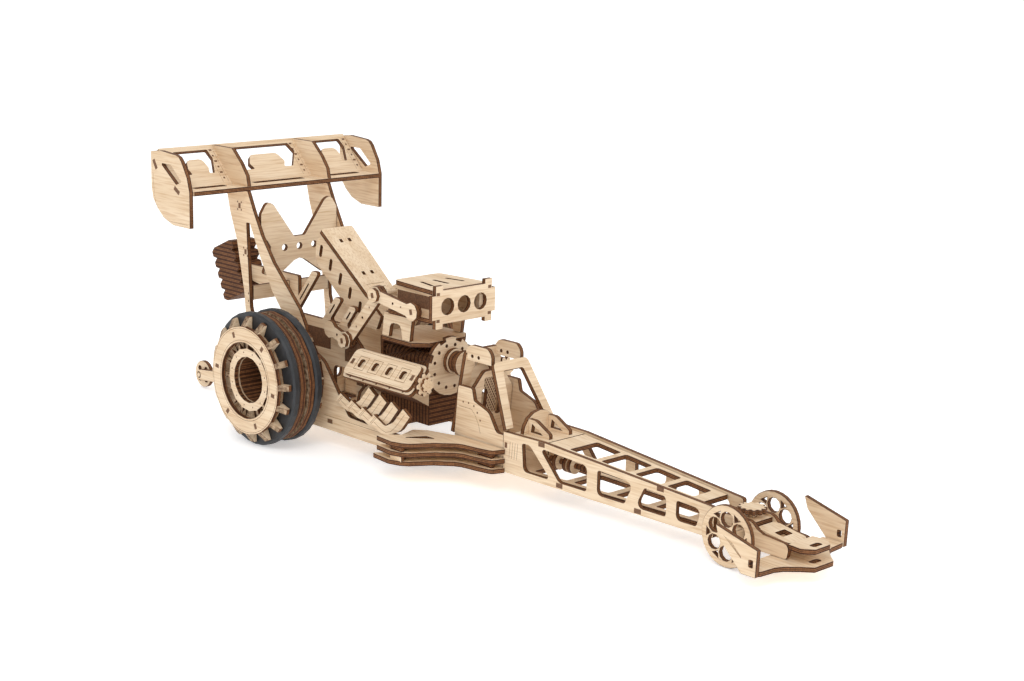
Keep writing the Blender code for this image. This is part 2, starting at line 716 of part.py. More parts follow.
def build_nose(wood):
    cheek_shares = ((0.0, 0.0, 0), (0.97, 0.0, R_SMALL), (1.0, 0.55, R_MEDIUM), (0.62, 0.66, R_LARGE),
                    (0.52, 1.0, R_MEDIUM), (0.20, 1.0, R_MEDIUM), (0.0, 0.80, R_SMALL))
    # Each cheek is notched round the axle beam, with room for it to steer
    notch_low = FRONT_RADIUS - AXLE_BEAM_HEIGHT / 2 - RUNNING * 2
    notch_high = FRONT_RADIUS + AXLE_BEAM_HEIGHT / 2 + RUNNING * 2
    notch_half = AXLE_BEAM_HEIGHT / 2 + RUNNING * 4
    window = rectangle(X_FRONT, (notch_low + notch_high) / 2, notch_half * 2, notch_high - notch_low, R_TINY)
    nose = []
    for side_name, side in SIDES:
        outline = at_shares(CHEEK_X, CHEEK_Z, cheek_shares)
        nose.append(upright("cheek", outline, [window], side, CHEEK_OUTER_Y - PLY, wood))
    half = CHEEK_OUTER_Y - PLY + OVERLAP
    front = CHEEK_X[1]
    rear = X_FRONT + KNOB_RADIUS + RUNNING * 2
    slope = math.radians(-9)
    along = Vector((math.cos(slope), 0, math.sin(slope)))
    origin = Vector((rear, 0, CHEEK_Z[0] + PLY * 3)) - along * rear
    outline = rounded([(rear, -half, 0), (front - R_SMALL, -half, R_MEDIUM), (front - R_SMALL, half, R_MEDIUM),
                       (rear, half, 0)])
    nose.append(plate("deck", outline, [rectangle((rear + front) / 2, 0, TAB, TAB * 1.5, R_TINY)], origin, along,
                      Y_AXIS, wood))
    # Bearing plate for the kingpin, between beam and knob
    bearing_low = FRONT_RADIUS + AXLE_BEAM_HEIGHT / 2 + RUNNING * 2
    bearing_rear = X_FRONT - KNOB_RADIUS
    bearing_front = X_FRONT + KNOB_RADIUS
    plate_outline = [(bearing_rear, -half), (bearing_front, -half), (bearing_front, half), (bearing_rear, half)]
    nose.append(level("bearing", plate_outline, [disc(X_FRONT, 0, KINGPIN_RADIUS + RUNNING)], bearing_low, wood))
    fuse("nose", nose)
    plate_inner = NOSE_PLATE_OUTER_Y - PLY - GAP
    wing_rear = X_FRONT + FRONT_RADIUS + EDGE
    half_shares = ((0.0, 0.40, 0), (0.0, 1.0, R_SMALL), (0.48, 1.0, R_SMALL), (0.52, 0.60, R_LARGE),
                   (0.80, 0.36, R_MEDIUM), (1.0, 0.22, R_SMALL))
    lower = [(wing_rear + a * (NOSE_TIP_X - wing_rear), b * plate_inner, r) for a, b, r in half_shares]
    outline = rounded([(u, -v, r) for u, v, r in lower] + [(u, v, r) for u, v, r in reversed(lower)])
    cut = [rectangle(NOSE_TIP_X - EDGE * 1.6, 0, EDGE, EDGE * 2, R_SMALL)]
    first = NOSE_PLATE_Z[0] - GAP
    level("front_wing", outline, cut, first, wood)
    rear = CHEEK_X[1] - R_TINY
    bumper = [(rear, CHEEK_OUTER_Y, R_TINY)] + [(u - R_SMALL, v - R_SMALL, r) for u, v, r in lower[4:]]
    top_outline = rounded([(u, -v, r) for u, v, r in bumper] + [(u, v, r) for u, v, r in reversed(bumper)])
    level("bumper", top_outline, cut, CHEEK_Z[0] + PLY * 2, wood)
    end_shares = ((0.64, 0.0, 0), (0.98, 0.0, 0), (1.0, 0.67, 0), (0.0, 1.0, 0), (0.08, 0.70, R_SMALL))
    for side_name, side in SIDES:
        outline = at_shares(NOSE_PLATE_X, NOSE_PLATE_Z, end_shares)
        window = rectangle(NOSE_PLATE_X[1] - EDGE, NOSE_PLATE_Z[0] + EDGE * 1.8, PLY, EDGE, R_TINY)
        upright("nose_end_plate_" + side_name, outline, [window], side, NOSE_PLATE_OUTER_Y - PLY, wood)


# Rear body and pods

def build_body(wood):
    side_shares = ((0.05, 0.0, R_MEDIUM), (1.0, 0.0, 0), (1.0, 0.22, 0), (0.62, 0.26, R_MEDIUM),
                   (0.44, 0.90, R_LARGE), (0.36, 1.0, R_MEDIUM), (0.08, 1.0, R_LARGE), (0.0, 0.35, R_LARGE))
    for side_name, side in SIDES:
        outline = at_shares(SIDE_X, SIDE_Z, side_shares)
        hole = disc(0, REAR_RADIUS, AXLE_RADIUS + RUNNING, HOLE_SIDES + 4)
        upright("body_side_" + side_name, outline, [hole], side, SIDE_INNER_Y, wood)
    half = SIDE_INNER_Y - GAP
    floor = rounded([(FLOOR_X[0], -half, R_MEDIUM), (FLOOR_X[1], -half, 0), (FLOOR_X[1], half, 0),
                     (FLOOR_X[0], half, R_MEDIUM)])
    windows = [rectangle(FLOOR_X[0] + (FLOOR_X[1] - FLOOR_X[0]) * share, 0, TAB * 2.6, half, R_MEDIUM)
               for share in (0.22, 0.5, 0.78)]
    level("floor", floor, windows, FLOOR_Z, wood)
    strut_inner = STRUT_OUTER_Y - PLY - GAP
    base = FLOOR_Z + PLY + GAP
    for name, x, top in (("bulkhead_rear", BULKHEAD_X, BULKHEAD_TOP_Z),
                         ("bulkhead_front", ENGINE_X[0] - PLY - GAP, ENGINE_Z[1] - PLY)):
        half_shares = ((1.0, 0.0, 0), (1.0, 0.80, R_LARGE), (0.60, 1.0, R_MEDIUM))
        right = [(u * strut_inner, base + v * (top - base), r) for u, v, r in half_shares]
        outline = rounded(right + [(-u, v, r) for u, v, r in reversed(right)])
        window = rectangle(0, (base + top) / 2, strut_inner, (top - base) * 0.45, R_MEDIUM)
        across(name, outline, [window], x, wood)


def build_pod(side_name, side, wood):
    """Three stacked plates with a curved outer edge, held apart by two upright ribs."""
    shares = ((1.0, 0.0, 0), (0.97, 0.20, R_MEDIUM), (0.848, 0.254, R_LARGE), (0.695, 0.30, R_LARGE),
              (0.568, 0.56, R_MEDIUM), (0.464, 0.92, R_LARGE), (0.345, 1.0, R_SMALL), (0.153, 0.955, R_TINY),
              (0.258, 0.64, R_SMALL), (0.207, 0.33, R_SMALL), (0.286, 0.18, R_SMALL), (0.495, 0.06, R_SMALL),
              (0.56, 0.0, 0))
    pieces = []
    for k, z in enumerate(POD_Z):
        rear = POD_X[0] - (EDGE if k == 0 else 0)
        outline = at_shares((rear, POD_X[1]), (POD_Y[0] + GAP, POD_Y[1]), shares)
        outline = [(u, side * v) for u, v in outline]
        holes = []
        if k == len(POD_Z) - 1:
            window = at_shares((rear, POD_X[1]), (POD_Y[0], POD_Y[1]),
                               ((0.30, 0.78, R_TINY), (0.50, 0.40, R_TINY), (0.40, 0.42, R_TINY)))
            holes = [[(u, side * v) for u, v in window]]
        pieces.append(level("layer", outline, holes, z, wood))
    low = POD_Z[0] + PLY - OVERLAP
    high = POD_Z[-1] + OVERLAP
    for x_share, y_share, length_share in ((0.30, 0.90, 0.12), (0.80, 0.12, 0.14)):
        x0 = POD_X[0] + x_share * (POD_X[1] - POD_X[0])
        length = length_share * (POD_X[1] - POD_X[0])
        y = POD_Y[0] + y_share * (POD_Y[1] - POD_Y[0])
        rib = [(x0, low), (x0 + length, low), (x0 + length, high), (x0, high)]
        pieces.append(upright("spacer", rib, [], side, y - PLY / 2, wood))
    fuse("side_pod_" + side_name, pieces)


# Cockpit

def hoop_outline(foot_z, bottom_half, top_half, top_z, leg):
    outer = [(bottom_half, foot_z, 0), (top_half, top_z, R_MEDIUM)]
    inner = [(top_half - HOOP_BAR, top_z - HOOP_BAR, R_SMALL), (bottom_half - leg, foot_z, 0)]
    ring = [(-u, v, r) for u, v, r in inner[::-1]]
    return rounded(outer[:1] + outer[1:] + [(-u, v, r) for u, v, r in outer[::-1]] + ring + inner)


def build_cockpit(wood):
    foot = POD_Z[-1] + PLY + GAP
    rear_lean = math.atan2(HOOP_REAR_X[1] - HOOP_REAR_X[0], HOOP_TOP_Z - foot)
    outline = hoop_outline(foot, COCKPIT_OUTER_Y, HOOP_TOP_HALF_Y, HOOP_TOP_Z, HOOP_LEG)
    cage = [across("hoop_rear", outline, [], HOOP_REAR_X[0], wood, lean=rear_lean, foot=foot)]
    front_foot = RAIL_TOP[0] + GAP
    front_lean = math.atan2(HOOP_FRONT_X[1] - HOOP_FRONT_X[0], HOOP_TOP_Z - front_foot)
    outline = hoop_outline(front_foot, RAIL_OUTER_Y - GAP, HOOP_TOP_HALF_Y, HOOP_TOP_Z, HOOP_BAR)
    cage.append(across("hoop_front", outline, [], HOOP_FRONT_X[0], wood, lean=front_lean, foot=front_foot))
    # Side cheeks between the hoops
    cheek_x = (HOOP_REAR_X[0] + PLY + GAP * 4, X_RAIL - GAP)
    cheek_z = (POD_Z[0], CHEEK_TOP_Z)
    shares = ((0.0, 0.0, 0), (1.0, 0.0, 0), (1.0, 0.50, 0), (0.86, 0.50, R_MEDIUM), (0.70, 0.74, R_MEDIUM),
              (0.40, 0.84, R_SMALL), (0.36, 1.0, R_SMALL), (0.08, 1.0, R_SMALL), (0.03, 0.5, 0))
    for side_name, side in SIDES:
        outline = at_shares(cheek_x, cheek_z, shares)
        upright("cockpit_cheek_" + side_name, outline, [], side, POD_Y[0] - PLY - GAP, wood)
    # Seat: a leaning slab between the cheeks
    seat_half = POD_Y[0] - PLY - GAP * 2
    lean = SEAT_LEAN
    base = POD_Z[0] + PLY - GAP - OVERLAP
    outline = rounded([(seat_half, base, 0), (seat_half, CHEEK_TOP_Z - EDGE, R_MEDIUM),
                       (seat_half * 0.45, SEAT_TOP_Z, R_MEDIUM),
                       (-seat_half * 0.45, SEAT_TOP_Z, R_MEDIUM),
                       (-seat_half, CHEEK_TOP_Z - EDGE, R_MEDIUM), (-seat_half, base, 0)])
    holes = [rectangle(sign * seat_half * 0.36, (base + HOOP_TOP_Z) / 2, TAB * 0.7, TAB * 3, R_SMALL)
             for sign in (-1, 1)]
    back = across("back", outline, holes, HOOP_REAR_X[0] + PLY * 3, wood, lean=lean, foot=base)
    floor = level("floor", [(HOOP_REAR_X[0], -seat_half), (X_RAIL - GAP, -seat_half), (X_RAIL - GAP, seat_half),
                            (HOOP_REAR_X[0], seat_half)], [], POD_Z[0] - GAP, wood)
    fuse("seat", [floor, back])
    # Roof ribs join the hoop tops
    rear_top = HOOP_REAR_X[1] + PLY / 2
    front_top = HOOP_FRONT_X[1] + PLY
    rib_low = HOOP_TOP_Z - HOOP_BAR
    rib_top = HOOP_TOP_Z + ROOF_RISE
    for side_name, side in SIDES:
        shares = ((0.0, 0.0, 0), (1.0, 0.0, 0), (1.0, 0.6, R_MEDIUM), (0.85, 1.0, R_MEDIUM),
                  (0.15, 1.0, R_MEDIUM), (0.0, 0.6, 0))
        outline = at_shares((rear_top, front_top), (rib_low, rib_top), shares)
        holes = [disc(rear_top + (front_top - rear_top) * share, (rib_low + HOOP_TOP_Z) / 2, PLY * 0.4)
                 for share in (0.25, 0.50)]
        cage.append(upright("roof_rib", outline, holes, side, HOOP_TOP_HALF_Y - PLY - OVERLAP, wood))
    fuse("roll_cage", cage)


# Engine

def crenellated(outline, centre_v):
    """Cut a square notch into every third facet of the upper half of a disc."""
    result = []
    count = len(outline)
    for k, (u, v) in enumerate(outline):
        following = outline[(k + 1) % count]
        result.append((u, v))
        if k % 3 == 1 and v > centre_v and following[1] > centre_v:
            result += [(u * NOTCH_SHARE, centre_v + (v - centre_v) * NOTCH_SHARE),
                       (following[0] * NOTCH_SHARE, centre_v + (following[1] - centre_v) * NOTCH_SHARE)]
    return result


def build_engine(wood):
    block = [(ENGINE_X[0], ENGINE_Z[0]), (ENGINE_X[1], ENGINE_Z[0]), (ENGINE_X[1], ENGINE_Z[1]),
             (ENGINE_X[0], ENGINE_Z[1])]
    block = plate("block", block, [], Vector((0, ENGINE_HALF_Y, 0)), X_AXIS, Z_AXIS, wood, 2 * ENGINE_HALF_Y)
    chamfer = BLOWER_HALF_Y * 0.35
    outline = [(-ENGINE_HALF_Y, ENGINE_Z[1] - OVERLAP), (ENGINE_HALF_Y, ENGINE_Z[1] - OVERLAP),
               (BLOWER_HALF_Y - chamfer, BLOWER_Z - GAP), (-BLOWER_HALF_Y + chamfer, BLOWER_Z - GAP)]
    rear_plate = across("rear_plate", outline, [], ROTOR_X[0] - PLY - GAP, wood)
    fuse("engine_block", [block, rear_plate])
    # Valve covers lean outwards at each side of the V
    for side_name, side in SIDES:
        top = Vector((0, side * COVER_TOP[0], COVER_TOP[1]))
        bottom = Vector((0, side * COVER_BOTTOM[0], COVER_BOTTOM[1]))
        up = top - bottom
        width = up.length
        pieces = []
        normal_out = X_AXIS.cross(up.normalized())
        if normal_out.z < 0:
            normal_out = -normal_out
        for layer, inset in ((0, 0), (1, R_SMALL)):
            outline = rounded([(COVER_X[0] + inset, inset, R_MEDIUM), (COVER_X[1] - inset, inset, R_MEDIUM),
                               (COVER_X[1] - inset, width - inset, R_MEDIUM),
                               (COVER_X[0] + inset, width - inset, R_MEDIUM)])
            holes = []
            if layer == 1:
                pitch = (COVER_X[1] - COVER_X[0]) / 5
                holes = [rectangle(COVER_X[0] + pitch * (k + 1), width / 2, TAB * 0.8, TAB, R_SMALL)
                         for k in range(4)]
            offset = normal_out * (layer * (PLY - OVERLAP))
            origin = bottom + offset
            if X_AXIS.cross(up.normalized()).z < 0:
                origin += normal_out * PLY
            pieces.append(plate("cover", outline, holes, origin, X_AXIS, up, wood))
        # The head fills the space from the block out to the cover
        inner = side * (ENGINE_HALF_Y + GAP)
        lean_gap = normal_out * OVERLAP
        a = Vector((0, inner, ENGINE_Z[1] - EDGE * 3))
        b = bottom + lean_gap + up * 0.12
        c = bottom + lean_gap + up * 0.80
        d = Vector((0, inner, ENGINE_Z[1]))
        outline = [(p.y, p.z) for p in (a, b, c, d)]
        pieces.append(across("head", outline, [], ENGINE_X[0], wood, ENGINE_X[1] - ENGINE_X[0]))
        fuse("cylinder_head_" + side_name, pieces)
    # Round front plate with a ring of holes
    holes = [disc(math.cos(t) * FRONT_PLATE_RADIUS * 0.72, FRONT_PLATE_Z + math.sin(t) * FRONT_PLATE_RADIUS * 0.72,
                  PLY * 0.30, 6) for t in [math.tau * (k + 0.5) / 12 for k in range(12)]]
    holes.append(disc(0, PULLEY_Z, AXLE_RADIUS + RUNNING, HOLE_SIDES))
    outline = disc(0, FRONT_PLATE_Z, FRONT_PLATE_RADIUS, WHEEL_SIDES - 8)
    outline = crenellated(outline, FRONT_PLATE_Z)
    across("engine_front_plate", outline, holes, FRONT_PLATE_X, wood)
    # Pulley: two cheeks with a groove between them, on a shaft through the front plate
    waist = PULLEY_RADIUS - PLY / 2
    depth = PLY * PULLEY_PLIES
    tail = PULLEY_X - FRONT_PLATE_X
    profile = [(0, -tail), (AXLE_RADIUS, -tail), (AXLE_RADIUS, 0), (PULLEY_RADIUS, 0), (PULLEY_RADIUS, PLY),
               (waist, PLY), (waist, depth - PLY), (PULLEY_RADIUS, depth - PLY), (PULLEY_RADIUS, depth),
               (0, depth)]
    lathe("pulley", profile, Vector((PULLEY_X, 0, PULLEY_Z)), X_AXIS, wood, WHEEL_SIDES - 8)


def rotor_mesh(name, side, wood):
    """A twisted rotor: a lobed section turned as it runs along X."""
    sections = 14
    sides = 12
    length = ROTOR_X[1] - ROTOR_X[0]
    bm = bmesh.new()
    rings = []
    for i in range(sections + 1):
        twist = side * math.tau * ROTOR_TURNS * i / sections
        ring = []
        for k in range(sides):
            angle = math.tau * k / sides
            radius = ROTOR_RADIUS * (1 - LOBE_SHARE + LOBE_SHARE * math.cos(ROTOR_LOBES * angle))
            ring.append(bm.verts.new((ROTOR_X[0] + length * i / sections,
                                      side * ROTOR_Y + radius * math.cos(angle + twist),
                                      ROTOR_Z + radius * math.sin(angle + twist))))
        rings.append(ring)
    for i in range(sections):
        for k in range(sides):
            j = (k + 1) % sides
            bm.faces.new((rings[i][k], rings[i][j], rings[i + 1][j], rings[i + 1][k]))
    bm.faces.new(rings[0][::-1])
    bm.faces.new(rings[-1])
    bmesh.ops.recalc_face_normals(bm, faces=bm.faces)
    return to_object(name, bm, wood)


def build_blower(wood):
    for side_name, side in SIDES:
        rotor_mesh("rotor_" + side_name, side, wood)
    chamfer = BLOWER_HALF_Y * 0.35
    outline = [(BLOWER_X[0], -BLOWER_HALF_Y + chamfer), (BLOWER_X[0] + chamfer, -BLOWER_HALF_Y),
               (BLOWER_X[1] - chamfer, -BLOWER_HALF_Y), (BLOWER_X[1], -BLOWER_HALF_Y + chamfer),
               (BLOWER_X[1], BLOWER_HALF_Y - chamfer), (BLOWER_X[1] - chamfer, BLOWER_HALF_Y),
               (BLOWER_X[0] + chamfer, BLOWER_HALF_Y), (BLOWER_X[0], BLOWER_HALF_Y - chamfer)]
    level("blower_plate", outline, [], BLOWER_Z, wood)
    # Arched supports under the scoop
    foot = BLOWER_Z + PLY + GAP
    top = SCOOP_Z[0] + OVERLAP
    box = []
    shares = ((0.0, 0.0, 0), (0.22, 0.0, 0), (0.28, 0.60, R_MEDIUM), (0.62, 0.60, R_MEDIUM), (0.68, 0.0, 0),
              (0.92, 0.0, 0), (1.0, 1.0, 0), (0.06, 1.0, 0))
    for side_name, side in SIDES:
        outline = at_shares((BLOWER_X[0] + EDGE * 2, BLOWER_X[1] - EDGE * 2), (foot, top), shares)
        box.append(upright("support", outline, [], side, BLOWER_HALF_Y - PLY * 1.2, wood))
    # Scoop: floor, sides and roof in one box, then the front plate with three round mouths
    half = SCOOP_HALF_Y - PLY
    length = SCOOP_X[1] - SCOOP_X[0]
    box.append(level("floor", [(SCOOP_X[0], -half), (SCOOP_X[1], -half), (SCOOP_X[1], half), (SCOOP_X[0], half)],
                     [], SCOOP_Z[0], wood))
    vents = [rectangle(SCOOP_X[0] + length * 0.55, half * 0.5 * k, length * 0.35, PLY * 0.8, R_TINY,
                       math.radians(12 * k)) for k in (-1, 0, 1)]
    roof = rounded([(SCOOP_X[0], -half * 0.8, R_MEDIUM), (SCOOP_X[1], -half, 0), (SCOOP_X[1], half, 0),
                    (SCOOP_X[0], half * 0.8, R_MEDIUM)])
    box.append(level("roof", roof, vents, SCOOP_Z[1] - PLY, wood))
    for side in (-1, 1):
        wall = rounded([(SCOOP_X[0] + PLY, SCOOP_Z[0] + OVERLAP, 0), (SCOOP_X[1], SCOOP_Z[0] + OVERLAP, 0),
                        (SCOOP_X[1], SCOOP_Z[1] - OVERLAP, 0), (SCOOP_X[0] + PLY, SCOOP_Z[1] - OVERLAP, 0)])
        box.append(upright("wall", wall, [], side, half * 0.8 - PLY, wood))
    fuse("scoop_box", box)
    mouths = [disc(SCOOP_HOLE_PITCH * k, (SCOOP_Z[0] + SCOOP_Z[1]) / 2, SCOOP_HOLE, SMALL_SIDES)
              for k in (-1, 0, 1)]
    notch = PLY
    outline = [(-SCOOP_HALF_Y, SCOOP_Z[0] + notch), (-SCOOP_HALF_Y + notch, SCOOP_Z[0] + notch),
               (-SCOOP_HALF_Y + notch, SCOOP_Z[0] - notch), (-SCOOP_HALF_Y + notch * 3, SCOOP_Z[0] - notch),
               (-SCOOP_HALF_Y + notch * 3, SCOOP_Z[0]), (SCOOP_HALF_Y - notch * 3, SCOOP_Z[0]),
               (SCOOP_HALF_Y - notch * 3, SCOOP_Z[0] - notch), (SCOOP_HALF_Y - notch, SCOOP_Z[0] - notch),
               (SCOOP_HALF_Y - notch, SCOOP_Z[0] + notch), (SCOOP_HALF_Y, SCOOP_Z[0] + notch)]
    middle = (SCOOP_Z[0] + SCOOP_Z[1]) / 2
    outline = outline + [(u, 2 * middle - v) for u, v in reversed(outline)]
    across("scoop_front", outline, mouths, SCOOP_X[1] + GAP, wood)


HEADER_OUTLINE = (
    # (x, z, corner radius) of the foremost pipe: outlet, straight run, bend and rise to the head
    (0.0850, 0.0290, 0), (0.1000, 0.0228, R_LARGE), (0.1160, 0.0285, R_LARGE), (0.1255, 0.0400, 0),
    (0.1190, 0.0440, 0), (0.1100, 0.0335, R_MEDIUM), (0.1020, 0.0292, R_MEDIUM), (0.0905, 0.0345, 0),
)


def build_headers(side_name, side, wood):
    """Four J-shaped pipes, one flat plate each, stepped back and outwards."""
    pieces = []
    for k in range(4):
        inner = SIDE_INNER_Y + PLY + GAP + k * HEADER_STEP
        back = HEADER_PITCH * (3 - k)
        lift = HEADER_DROP * (3 - k)
        points = []
        for x, z, radius in HEADER_OUTLINE:
            points.append((x - back, z + lift, radius))
        pieces.append(upright("pipe", rounded(points), [], side, inner, wood))
    fuse("headers_" + side_name, pieces)


# Wing, struts and brace

FLAP_WINDOW_SHARES = (
    # along the bay and up the flap: a wide opening with slanted shoulders over a rounded panel
    (0.10, 0.88, R_TINY), (0.18, 0.30, R_TINY), (0.30, 0.30, R_TINY), (0.26, 0.44, R_SMALL),
    (0.32, 0.66, R_MEDIUM), (0.68, 0.66, R_MEDIUM), (0.74, 0.44, R_SMALL), (0.70, 0.30, R_TINY),
    (0.82, 0.30, R_TINY), (0.94, 0.66, R_TINY), (0.90, 0.88, R_TINY),
)


def build_wing(wood):
    half = WING_HALF - PLY - GAP
    bay = [-half, -RIB_OUTER_Y, RIB_OUTER_Y, half]
    windows = []
    for start, end in zip(bay[:-1], bay[1:]):
        middle = (start + end) / 2
        windows.append(rectangle((WING_FRONT_X + WING_REAR_X) / 2 - PLY, middle, EDGE * 1.6, (end - start) * 0.6,
                                 R_SMALL))
    outline = [(WING_REAR_X, -half), (WING_FRONT_X, -half), (WING_FRONT_X, half), (WING_REAR_X, half)]
    wing = [level("plane", outline, windows, WING_Z, wood)]
    # The flap leans back from behind the plane up to the trailing edge
    foot = Vector((FLAP_FOOT[0], 0, FLAP_FOOT[1]))
    top = Vector((FLAP_TOP[0], 0, FLAP_TOP[1]))
    up = top - foot
    windows = []
    for start, end in zip(bay[:-1], bay[1:]):
        windows.append(at_shares((start + PLY * 2, end - PLY), (0, up.length), FLAP_WINDOW_SHARES))
    outline = [(-half, 0), (half, 0), (half, up.length), (-half, up.length)]
    wing.append(plate("flap", outline, windows, foot, Y_AXIS, up, wood))
    # Quarter-round ribs stand on the plane against the flap's front face
    normal = Y_AXIS.cross(up.normalized())
    base = foot + normal * (PLY - OVERLAP)
    direction = up.normalized()
    for side_name, side in SIDES:
        bottom_z = WING_Z + PLY - OVERLAP
        lower = base + direction * ((bottom_z - base.z) / direction.z)
        upper = base + direction * up.length
        nose = WING_FRONT_X - GAP
        radius = nose - lower.x
        outline = [(lower.x, bottom_z), (nose, bottom_z), (nose - radius * 0.10, bottom_z + radius * 0.42),
                   (nose - radius * 0.45, bottom_z + radius * 0.86), (nose - radius * 1.0, upper.z),
                   (upper.x, upper.z)]
        wing.append(upright("rib", outline, [], side, RIB_OUTER_Y - PLY, wood))
    fuse("wing", wing)
    shares = ((0.42, 0.0, R_WIDE), (1.0, 0.0, 0), (1.0, 0.60, R_WIDE), (0.75, 0.97, R_LARGE), (0.25, 1.0, R_LARGE),
              (0.0, 0.97, 0), (0.0, 0.30, R_WIDE))
    window_shares = ((0.25, 0.83, R_TINY), (0.52, 0.83, R_TINY), (0.80, 0.62, R_TINY), (0.66, 0.57, R_TINY))
    for side_name, side in SIDES:
        outline = at_shares(WING_PLATE_X, WING_PLATE_Z, shares)
        window = at_shares(WING_PLATE_X, WING_PLATE_Z, window_shares)
        upright("wing_end_plate_" + side_name, outline, [window], side, WING_HALF - PLY, wood)


# (x, z, corner radius) round a strut from its foot, and round its long slot
STRUT_OUTLINE = (
    (-0.0520, STRUT_Z[0], R_MEDIUM), (0.0060, STRUT_Z[0], R_MEDIUM), (0.0060, 0.0740, R_MEDIUM),
    (-0.0012, 0.0860, R_LARGE), (-0.0300, 0.1133, 0), (-0.0430, 0.1300, 0), (-0.0520, 0.1460, 0),
    (-0.0583, WING_Z - GAP, 0), (-0.0830, WING_Z - GAP, 0), (-0.0787, 0.1425, 0), (-0.0709, 0.1226, 0),
    (-0.0632, 0.0886, 0), (-0.0600, 0.0560, R_MEDIUM),
)
STRUT_SLOT = (
    (-0.0600, 0.1370, R_TINY), (-0.0560, 0.1370, R_TINY), (-0.0467, 0.1191, 0), (-0.0311, 0.0938, 0),
    (-0.0189, 0.0800, R_MEDIUM), (-0.0200, 0.0660, R_MEDIUM), (-0.0520, 0.0660, R_MEDIUM), (-0.0564, 0.0785, 0),
)


def build_struts(wood):
    for side_name, side in SIDES:
        outline = rounded(STRUT_OUTLINE)
        slot = rounded(STRUT_SLOT)
        hole = disc(0, REAR_RADIUS, AXLE_RADIUS + RUNNING, HOLE_SIDES + 4)
        upright("strut_" + side_name, outline, [slot, hole], side, STRUT_OUTER_Y - PLY, wood)
    half = STRUT_OUTER_Y - PLY - GAP
    middle = (BRACE_Z[0] + BRACE_Z[1]) / 2
    outline = rounded([
        (half * 0.62, BRACE_Z[0], R_SMALL), (half * 0.95, BRACE_Z[0] + EDGE, R_SMALL),
        (half * 0.70, middle - EDGE, R_LARGE), (half, middle + EDGE, 0), (half, BRACE_Z[1] - EDGE * 2, R_SMALL),
        (half * 0.84, BRACE_Z[1], R_MEDIUM), (half * 0.68, BRACE_Z[1] - EDGE / 2, R_MEDIUM),
        (half * 0.14, middle + EDGE / 4, R_SMALL), (-half * 0.14, middle + EDGE / 4, R_SMALL),
        (-half * 0.68, BRACE_Z[1] - EDGE / 2, R_MEDIUM), (-half * 0.84, BRACE_Z[1], R_MEDIUM),
        (-half, BRACE_Z[1] - EDGE * 2, R_SMALL), (-half, middle + EDGE, 0),
        (-half * 0.70, middle - EDGE, R_LARGE), (-half * 0.95, BRACE_Z[0] + EDGE, R_SMALL),
        (-half * 0.62, BRACE_Z[0], R_SMALL), (0, BRACE_Z[0] + EDGE * 3.4, R_LARGE)])
    holes = [disc(k * BRACE_HOLE_PITCH, BRACE_HOLE_Z, BRACE_HOLE) for k in (-1, 0, 1)]
    across("cross_brace", outline, holes, BRACE_X, wood)


# Lever and links

def build_lever(wood):
    top = Vector((LEVER_TOP[0], 0, LEVER_TOP[1]))
    foot = Vector((LEVER_FOOT[0], 0, LEVER_FOOT[1]))
    along = foot - top
    length = along.length
    outline = rounded([(0, -LEVER_HALF_Y, R_SMALL), (length, -LEVER_FOOT_HALF_Y, R_SMALL),
                       (length, LEVER_FOOT_HALF_Y, R_SMALL), (0, LEVER_HALF_Y, R_SMALL)])
    holes = [rectangle(length * share, sign * PLY * 1.2, PLY, PLY * 0.8) for share in (0.15, 0.52)
             for sign in (-1, 1)]
    lever = [plate("lever_plate", outline, holes, top, along, Y_AXIS, wood)]
    direction = along.normalized()
    for side_name, side in SIDES:
        down = Vector((-direction.z, 0, direction.x)) * -1
        low = LEVER_DEPTH
        corners = []
        for share, depth, radius in ((0.04, -OVERLAP, 0), (0.97, -OVERLAP, 0), (1.0, low * 0.45, R_SMALL),
                                     (0.80, low, R_LARGE), (0.10, low, R_LARGE), (0.0, low * 0.4, R_SMALL)):
            point = top + direction * (share * length) + down * depth
            corners.append((point.x, point.z, radius))
        slots = []
        for share in (0.10, 0.26, 0.42, 0.58, 0.74):
            point = top + direction * (share * length) + down * (low * 0.5)
            slots.append(rectangle(point.x, point.z, PLY, low * 0.42, PLY * 0.5, math.radians(-12)))
        inner_y = LEVER_HALF_Y - PLY * 1.5
        lever.append(upright("lever_side", rounded(corners), slots, side, inner_y, wood))
        pivot = LINK_TABLE[0][1]
        near = top + direction * (length * 0.90) + down * (low * 0.30)
        span = Vector((pivot[0] - near.x, pivot[1] - near.z))
        heading = math.atan2(span.y, span.x)
        ear = arc(pivot[0], pivot[1], LEVER_EAR, heading - math.pi / 2, heading + math.pi / 2, 6)
        ear += arc(near.x, near.z, LEVER_EAR, heading + math.pi / 2, heading + math.pi * 3 / 2, 4)
        hole = disc(pivot[0], pivot[1], LINK_SHAFT + GAP)
        lever.append(upright("ear", ear, [hole], side, inner_y - OVERLAP, wood))
    fuse("lever", lever)


LINK_TABLE = (
    # name, start (x, z), end (x, z), plies out from the first
    ("link_long", (0.0700, 0.1065), (0.0390, 0.0712), 0),
    ("link_short", (0.0390, 0.0712), (0.0232, 0.0760), 1),
    ("link_front", (0.0700, 0.1065), (0.1050, 0.1012), 1),
)


def link_outline(start, end):
    start = Vector(start)
    end = Vector(end)
    direction = (end - start).normalized()
    heading = math.atan2(direction.y, direction.x)
    first = arc(start.x, start.y, LINK_HEAD, heading + math.radians(40), heading + math.radians(320), 7)
    second = arc(end.x, end.y, LINK_HEAD, heading + math.radians(220), heading + math.radians(500), 7)
    return first + second


